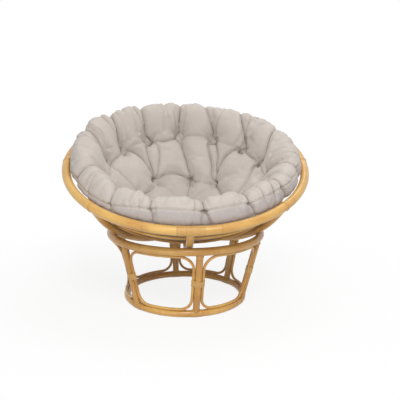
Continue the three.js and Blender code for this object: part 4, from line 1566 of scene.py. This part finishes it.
def thread_material(settings):
    material, tree = fresh_material("Sewing thread")
    twist = fibre_noise(tree, own_place(tree), 900.0, 900.0, 2.0, 0.5, 900.0)
    shade = mixed(tree, ramp(tree, twist, 0.3, 0.7), opaque(settings.thread_colour), opaque(settings.shade))
    finish = {"Color": shade, "Roughness": times_plus(tree, twist, 0.2, 0.6), "Height": twist}
    finish_material(tree, finish, 0.0002, 0.5)
    return material


class BuildCushion(bpy.types.Operator):
    """Stuff the round cushion, sew its tufts and let its cloth fill"""

    bl_idname = "bowl_chair.cushion"
    bl_label = "Cushion"

    def execute(self, context):
        settings = context.scene.chair_cushion
        pad = Pad(settings, context.scene.chair_poles)
        corners, faces = cushion_form(pad)
        sew_creases(corners, pad)
        piece = new_mesh("tufted_cushion", corners, faces)
        select_only(piece)
        piece.data.remesh_voxel_size = settings.grain_size
        bpy.ops.object.voxel_remesh()
        apply_modifier(piece, "SMOOTH", factor=0.5, iterations=5)
        fill_cloth(piece, pad, settings)
        apply_modifier(piece, "SMOOTH", factor=0.5, iterations=9, vertex_group="held")
        apply_modifier(piece, "SUBSURF", levels=1, render_levels=1)
        marks, sharp = fold_cloth(piece, pad)
        press_seam(piece, pad)
        map_cloth(piece, pad, marks, sharp)
        stitches = sew_seam(piece, pad, settings)
        dress(stitches, "cushion", "cushion_cloth", thread_material(settings), "cushion")
        settle(piece, bowl_place)
        select_only(piece)
        bpy.ops.object.shade_smooth()
        dress(piece, "cushion", "cushion_cloth", cloth_material(settings), "cushion")
        return {"FINISHED"}


# Pieces of the stand

# How the loops are swept, and how far apart a leg's rings of corners are
loop_sweep = {"closed": True, "step": 0.007, "sides": 16, "spacing": 0.21, "swell": 0.0002}
leg_step = 0.03


def chair_settings(context):
    """The sizes of the poles, the look of their skin and the flat cane"""
    return context.scene.chair_poles, context.scene.chair_rattan, context.scene.chair_cane


class BuildStandRings(bpy.types.Operator):
    """Bend the floor ring and the support ring"""

    bl_idname = "bowl_chair.stand_rings"
    bl_label = "Stand Rings"

    def execute(self, context):
        poles, rattan, _ = chair_settings(context)
        start = poles.first_leg_turn
        rings = (
            ("floor_ring", poles.floor_ring_radius, floor_ring_height(), poles.floor_ring_pole, rattan.knot_swell),
            ("support_ring", poles.support_ring_radius, poles.support_ring_height, poles.support_ring_pole, 0.0),
        )
        for node, radius, height, pole, swell in rings:
            path = ring_path(radius, height, start, stand_place)
            piece = add_pole(node + "_pole", path, pole, closed=True, swell=swell, spacing=rattan.knot_spacing)
            dress(piece, "stand", "rattan_pole", pole_material(rattan), node)
        return {"FINISHED"}


class BuildLegs(bpy.types.Operator):
    """Set the splayed legs between the two rings and scoop their ends"""

    bl_idname = "bowl_chair.legs"
    bl_label = "Legs"

    def execute(self, context):
        poles, rattan, cane = chair_settings(context)
        cone = LegCone(poles)
        grown = 2 * (2 * poles.fit_gap + cane.thickness)
        top = poles.support_ring_pole + 2 * poles.fit_gap
        cutters = [
            ring_cutter(poles.floor_ring_radius, cone.low, poles.floor_ring_pole + grown, stand_place),
            ring_cutter(poles.support_ring_radius, poles.support_ring_height, top, stand_place),
        ]
        for index, angle in enumerate(leg_angles(poles)):
            ends = [stand_place @ cone.point(along, angle) for along in (0, cone.length)]
            name = f"leg_pole_{index + 1}"
            swell, spacing = rattan.knot_swell, rattan.knot_spacing
            piece = add_pole(name, ends, poles.leg_pole, step=leg_step, swell=swell, spacing=spacing)
            scoop(piece, cutters)
            bpy.ops.object.shade_smooth_by_angle(angle=soft_edge)
            dress(piece, "stand", "rattan_pole", pole_material(rattan), f"leg_{index + 1}")
        drop(cutters)
        return {"FINISHED"}


class BuildPanelLoops(bpy.types.Operator):
    """Bend a thin cane to a round-cornered frame in every panel of the stand"""

    bl_idname = "bowl_chair.panel_loops"
    bl_label = "Panel Loops"

    def execute(self, context):
        poles, rattan, _ = chair_settings(context)
        cone = LegCone(poles)
        outline = loop_outline(poles, cone)
        half_step = math.pi / poles.leg_count
        for index, angle in enumerate(leg_angles(poles)):
            path = [stand_place @ cone.point(y, angle + half_step + x / cone.radius_at(y)) for x, y in outline]
            name = f"panel_cane_{index + 1}"
            piece = add_pole(name, path, poles.loop_pole, **loop_sweep)
            dress(piece, "stand", "thin_rattan", pole_material(rattan), f"panel_loop_{index + 1}")
        return {"FINISHED"}


# Steps along one side of a loop and round one of its corners
side_steps = 80
corner_steps = 24


def loop_outline(poles, cone):
    """The middle line of a loop, unrolled flat: across the panel and up it"""
    offset = poles.leg_pole / 2 + poles.fit_gap + poles.loop_pole / 2
    low = poles.floor_ring_pole / 2 + poles.fit_gap + poles.loop_pole / 2
    high = cone.length - poles.support_ring_pole / 2 - poles.fit_gap - poles.loop_pole / 2

    def side(along):
        radius = cone.radius_at(along)
        return radius * (math.pi / poles.leg_count - math.asin(offset / radius))

    corners = [(-side(low), low), (side(low), low), (side(high), high), (-side(high), high)]
    corners = [Vector(corner) for corner in corners]
    arcs = []
    for index, corner in enumerate(corners):
        arcs.append(rounded_corner(corners[index - 1], corner, corners[(index + 1) % 4], poles.loop_corner_radius))
    outline = []
    for index, arc in enumerate(arcs):
        outline += arc
        start, end = arc[-1], arcs[(index + 1) % 4][0]
        for step in range(1, side_steps):
            point = start.lerp(end, step / side_steps)
            if index in (1, 3):
                sign = 1 if index == 1 else -1
                point = Vector((sign * side(point.y), point.y))
            outline.append(point)
    return [tuple(point) for point in outline]


def rounded_corner(before, corner, after, radius):
    """The points of an arc that rounds one corner of an outline"""
    to_before = (before - corner).normalized()
    to_after = (after - corner).normalized()
    half = math.acos(to_before.dot(to_after)) / 2
    centre = corner + (to_before + to_after).normalized() * (radius / math.sin(half))
    start = corner + to_before * (radius / math.tan(half)) - centre
    turn = -math.copysign(math.pi - 2 * half, to_before.x * to_after.y - to_before.y * to_after.x)
    return [Matrix.Rotation(turn * step / corner_steps, 2) @ start + centre for step in range(corner_steps + 1)]


class BuildStandWindings(bpy.types.Operator):
    """Wind cane round the legs, their tops and the floor ring"""

    bl_idname = "bowl_chair.stand_windings"
    bl_label = "Stand Windings"

    def execute(self, context):
        poles, _, cane = chair_settings(context)
        cone = LegCone(poles)
        material = cane_material(cane)
        top = cone.length - poles.support_ring_pole / 2 - poles.fit_gap - cane.collar_width / 2
        middle = (cane.leg_height - cone.low) * cone.length / cone.rise
        foot_fit = poles.fit_gap / 3
        room = cone.low - poles.floor_ring_pole / 2 - foot_fit
        for index, angle in enumerate(leg_angles(poles)):
            number = index + 1
            foot = wind_cane(f"foot_winding_{number}", poles.floor_ring_pole / 2, cane.foot_width, cane, foot_fit, room)
            bend_round_ring(foot, poles.floor_ring_radius, cone.low, angle, stand_place)
            dress(foot, "stand", "cane_binding", material, f"foot_binding_{number}")
            collar = wind_cane(f"collar_winding_{number}", poles.leg_pole / 2, cane.collar_width, cane, poles.fit_gap)
            settle(collar, stand_place @ cone.place(top, angle))
            dress(collar, "stand", "cane_binding", material, f"leg_collar_{number}")
            band = wind_cane(f"leg_winding_{number}", poles.leg_pole / 2, cane.leg_width, cane, poles.fit_gap)
            stretch_over_loops(band, poles, cone.radius_at(middle))
            settle(band, stand_place @ cone.place(middle, angle))
            dress(band, "stand", "cane_binding", material, f"leg_binding_{number}")
        return {"FINISHED"}


def stretch_over_loops(piece, poles, cone_radius):
    """Stretches a round winding over the leg and the loops on both of its sides"""
    offset = poles.leg_pole / 2 + poles.fit_gap + poles.loop_pole / 2
    sink = math.sqrt(cone_radius**2 - offset**2) - cone_radius
    for corner in piece.data.vertices:
        radius = math.hypot(corner.co.x, corner.co.y)
        angle = math.atan2(corner.co.y, corner.co.x)
        grow = radius - poles.leg_pole / 2
        corner.co.x, corner.co.y = band_outline(sink, offset, poles.leg_pole / 2, poles.loop_pole / 2, grow, angle)


# Pieces of the bowl

# How the rim, the thin hoops and the base hoop are swept, and in how many steps a rib is bent
rim_sweep = {"closed": True, "spacing": 0.34, "sides": 28}
hoop_sweep = {"closed": True, "spacing": 0.24, "sides": 16}
base_sweep = {"closed": True, "spacing": 0.38, "step": 0.008}
rib_steps = 240


class BuildRim(bpy.types.Operator):
    """Bend the heavy rim and wind the long joint at its front"""

    bl_idname = "bowl_chair.rim"
    bl_label = "Rim"

    def execute(self, context):
        poles, rattan, cane = chair_settings(context)
        drop_of_rim = rim_drop(poles)
        path = ring_path(poles.rim_radius, -drop_of_rim, poles.front_rib_turn, bowl_place)
        piece = add_pole("rim_pole", path, poles.rim_pole, swell=rattan.knot_swell, **rim_sweep)
        dress(piece, "bowl", "rattan_pole", pole_material(rattan), "rim")
        for index, angle in enumerate(rib_angles(poles)):
            width = cane.rim_width if index else cane.rim_joint_width
            name = f"rim_winding_{index}" if index else "rim_joint_winding"
            node = f"rim_binding_{index}" if index else "rim_joint_wrap"
            winding = wind_cane(name, poles.rim_pole / 2, width, cane, poles.fit_gap)
            bend_round_ring(winding, poles.rim_radius, -drop_of_rim, angle, bowl_place)
            dress(winding, "bowl", "cane_binding", cane_material(cane), node)
        return {"FINISHED"}


class BuildRibs(bpy.types.Operator):
    """Bend the ribs to the ball and scoop their ends over the rim and the base hoop"""

    bl_idname = "bowl_chair.ribs"
    bl_label = "Ribs"

    def execute(self, context):
        poles, rattan, cane = chair_settings(context)
        radius = rib_path_radius(poles)
        low = math.asin(poles.base_hoop_radius / radius) + poles.rib_pole / 4 / radius
        high = math.atan2(poles.rim_radius, rim_drop(poles)) - poles.rim_pole / 4 / radius
        base_height = -math.sqrt(radius**2 - poles.base_hoop_radius**2)
        shared = [
            ring_cutter(poles.rim_radius, -rim_drop(poles), poles.rim_pole + 2 * poles.fit_gap, bowl_place),
            ring_cutter(poles.base_hoop_radius, base_height, poles.rib_pole + 2 * poles.fit_gap, bowl_place),
        ]
        for index, angle in enumerate(rib_angles(poles)):
            climbs = [low + (high - low) * step / rib_steps for step in range(rib_steps + 1)]
            path = [bowl_place @ on_ball(radius, climb, angle) for climb in climbs]
            name = f"rib_pole_{index + 1}"
            piece = add_pole(name, path, poles.rib_pole, spacing=rattan.knot_spacing)
            width = cane.rim_width if index else cane.rim_joint_width
            grown = poles.rim_pole / 2 + cane.thickness + 2 * poles.fit_gap
            width += 2 * poles.fit_gap
            room = winding_room(width, grown, poles.rim_radius, -rim_drop(poles), angle, bowl_place)
            scoop(piece, [*shared, room])
            drop([room])
            bpy.ops.object.shade_smooth_by_angle(angle=soft_edge)
            dress(piece, "bowl", "rattan_pole", pole_material(rattan), f"rib_{index + 1}")
        drop(shared)
        return {"FINISHED"}


class BuildHoops(bpy.types.Operator):
    """Bend the two thin hoops inside the ribs and the heavy hoop at the bottom"""

    bl_idname = "bowl_chair.hoops"
    bl_label = "Hoops"

    def execute(self, context):
        poles, rattan, _ = chair_settings(context)
        material = pole_material(rattan)
        radius = rib_path_radius(poles)
        inner = radius - poles.rib_pole / 2 - poles.hoop_pole / 2 - 2 * poles.fit_gap
        for node, lowered in (("upper_hoop", poles.upper_hoop_drop), ("lower_hoop", poles.lower_hoop_drop)):
            height = -rim_drop(poles) - lowered
            path = ring_path(math.sqrt(inner**2 - height**2), height, poles.front_rib_turn, bowl_place)
            piece = add_pole(node + "_cane", path, poles.hoop_pole, **hoop_sweep)
            dress(piece, "bowl", "thin_rattan", material, node)
        height = -math.sqrt(radius**2 - poles.base_hoop_radius**2)
        path = ring_path(poles.base_hoop_radius, height, poles.front_rib_turn, bowl_place)
        piece = add_pole("bowl_base_pole", path, poles.rib_pole, **base_sweep)
        dress(piece, "bowl", "rattan_pole", material, "bowl_base_hoop")
        return {"FINISHED"}


# Stage

# The lamps: name, place and size, all turned to the middle of the chair
lamps = (
    ("key", (0.25, -2.75, 2.85), 1.4),
    ("top", (0.6, 0.9, 3.1), 1.8),
    ("fill", (-1.5, -3.2, 0.45), 1.8),
)
lamp_target = Vector((0, 0, 0.45))


class BuildStage(bpy.types.Operator):
    """Lay the floor and set the lamps and the camera"""

    bl_idname = "bowl_chair.stage"
    bl_label = "Floor, Lamps and Camera"

    def execute(self, context):
        stage = context.scene.chair_stage
        deselect_all()
        bpy.ops.mesh.primitive_plane_add(size=stage.floor_size, location=(0, 0, 0))
        floor = bpy.context.object
        floor.name = "stage_floor"
        floor.data.materials.append(floor_material())
        for lamp in lamps:
            add_lamp(stage, *lamp)
        light_world(context.scene, stage.ambient)
        add_camera(context.scene, stage)
        context.scene.view_settings.view_transform = "Standard"
        return {"FINISHED"}


def seen_share(tree):
    """1 where the eye, a reflection or clear glass looks straight at a backdrop"""
    rays = put(tree, "ShaderNodeLightPath").outputs
    seen = larger(tree, rays["Is Camera Ray"], rays["Is Glossy Ray"])
    return larger(tree, seen, rays["Is Transmission Ray"])


def floor_material():
    material, tree = fresh_material("Pale floor")
    away = reach_of(tree, own_place(tree))
    share = times(tree, seen_share(tree), ramp(tree, away, 0.5, 1.5, 0.86, 1.0))
    matt = put(tree, "ShaderNodeBsdfDiffuse", {"Color": (0.88, 0.88, 0.88, 1)})
    white = put(tree, "ShaderNodeEmission", {"Color": (1, 1, 1, 1), "Strength": 1.0})
    both = put(tree, "ShaderNodeMixShader", {0: share, 1: matt.outputs[0], 2: white.outputs[0]})
    put(tree, "ShaderNodeOutputMaterial", {"Surface": both.outputs[0]})
    return material


def add_lamp(stage, name, place, size):
    deselect_all()
    bpy.ops.object.light_add(type="AREA", location=place)
    lamp = bpy.context.object
    lamp.name = name + "_lamp"
    lamp.data.shape = "DISK"
    lamp.data.size = size
    lamp.data.energy = getattr(stage, name + "_power")
    lamp.rotation_mode = "QUATERNION"
    lamp.rotation_quaternion = (lamp_target - Vector(place)).to_track_quat("-Z", "Y")


def light_world(scene, ambient):
    world = bpy.data.worlds.new("Soft room")
    scene.world = world
    world.use_nodes = True
    tree = world.node_tree
    tree.nodes.clear()
    strength = times_plus(tree, seen_share(tree), 1.0 - ambient, ambient)
    light = put(tree, "ShaderNodeBackground", {"Color": (1, 1, 1, 1), "Strength": strength})
    put(tree, "ShaderNodeOutputWorld", {"Surface": light.outputs[0]})


def add_camera(scene, stage):
    bpy.ops.object.camera_add()
    camera = bpy.context.object
    camera.name = "photo_camera"
    flat = math.cos(stage.pitch)
    ahead = Vector((math.sin(stage.yaw) * flat, math.cos(stage.yaw) * flat, -math.sin(stage.pitch)))
    level = Vector((math.cos(stage.yaw), -math.sin(stage.yaw), 0))
    upright = level.cross(ahead)
    right = math.cos(stage.roll) * level + math.sin(stage.roll) * upright
    top = -math.sin(stage.roll) * level + math.cos(stage.roll) * upright
    turned = Matrix((right, top, -ahead)).transposed().to_4x4()
    camera.matrix_world = Matrix.Translation(stage.eye) @ turned
    camera.data.sensor_width = 36.0
    camera.data.lens = stage.lens
    camera.data.clip_start = 0.01
    scene.camera = camera


# The add-on


class BowlChairPanel(bpy.types.Panel):
    """Lists the pieces of the chair"""

    bl_label = "Bowl Chair"
    bl_idname = "VIEW3D_PT_bowl_chair"
    bl_space_type = "VIEW_3D"
    bl_region_type = "UI"
    bl_category = "Bowl Chair"

    def draw(self, context):
        for builder in builders:
            self.layout.operator(builder.bl_idname)
        for group in groups:
            box = self.layout.box()
            settings = getattr(context.scene, groups[group])
            for key in group.__annotations__:
                box.prop(settings, key)


groups = {
    PoleSettings: "chair_poles",
    RattanSettings: "chair_rattan",
    CaneSettings: "chair_cane",
    CushionSettings: "chair_cushion",
    StageSettings: "chair_stage",
}
builders = (
    BuildStandRings,
    BuildLegs,
    BuildPanelLoops,
    BuildStandWindings,
    BuildRim,
    BuildRibs,
    BuildHoops,
    BuildCushion,
    BuildStage,
)


def register():
    for made in (*groups, *builders, BowlChairPanel):
        bpy.utils.register_class(made)
    for group, name in groups.items():
        setattr(bpy.types.Scene, name, bpy.props.PointerProperty(type=group))


def unregister():
    for name in groups.values():
        delattr(bpy.types.Scene, name)
    for made in reversed((*groups, *builders, BowlChairPanel)):
        bpy.utils.unregister_class(made)


def main():
    register()
    for builder in builders:
        area, name = builder.bl_idname.split(".")
        getattr(getattr(bpy.ops, area), name)()


if __name__ == "__main__":
    main()
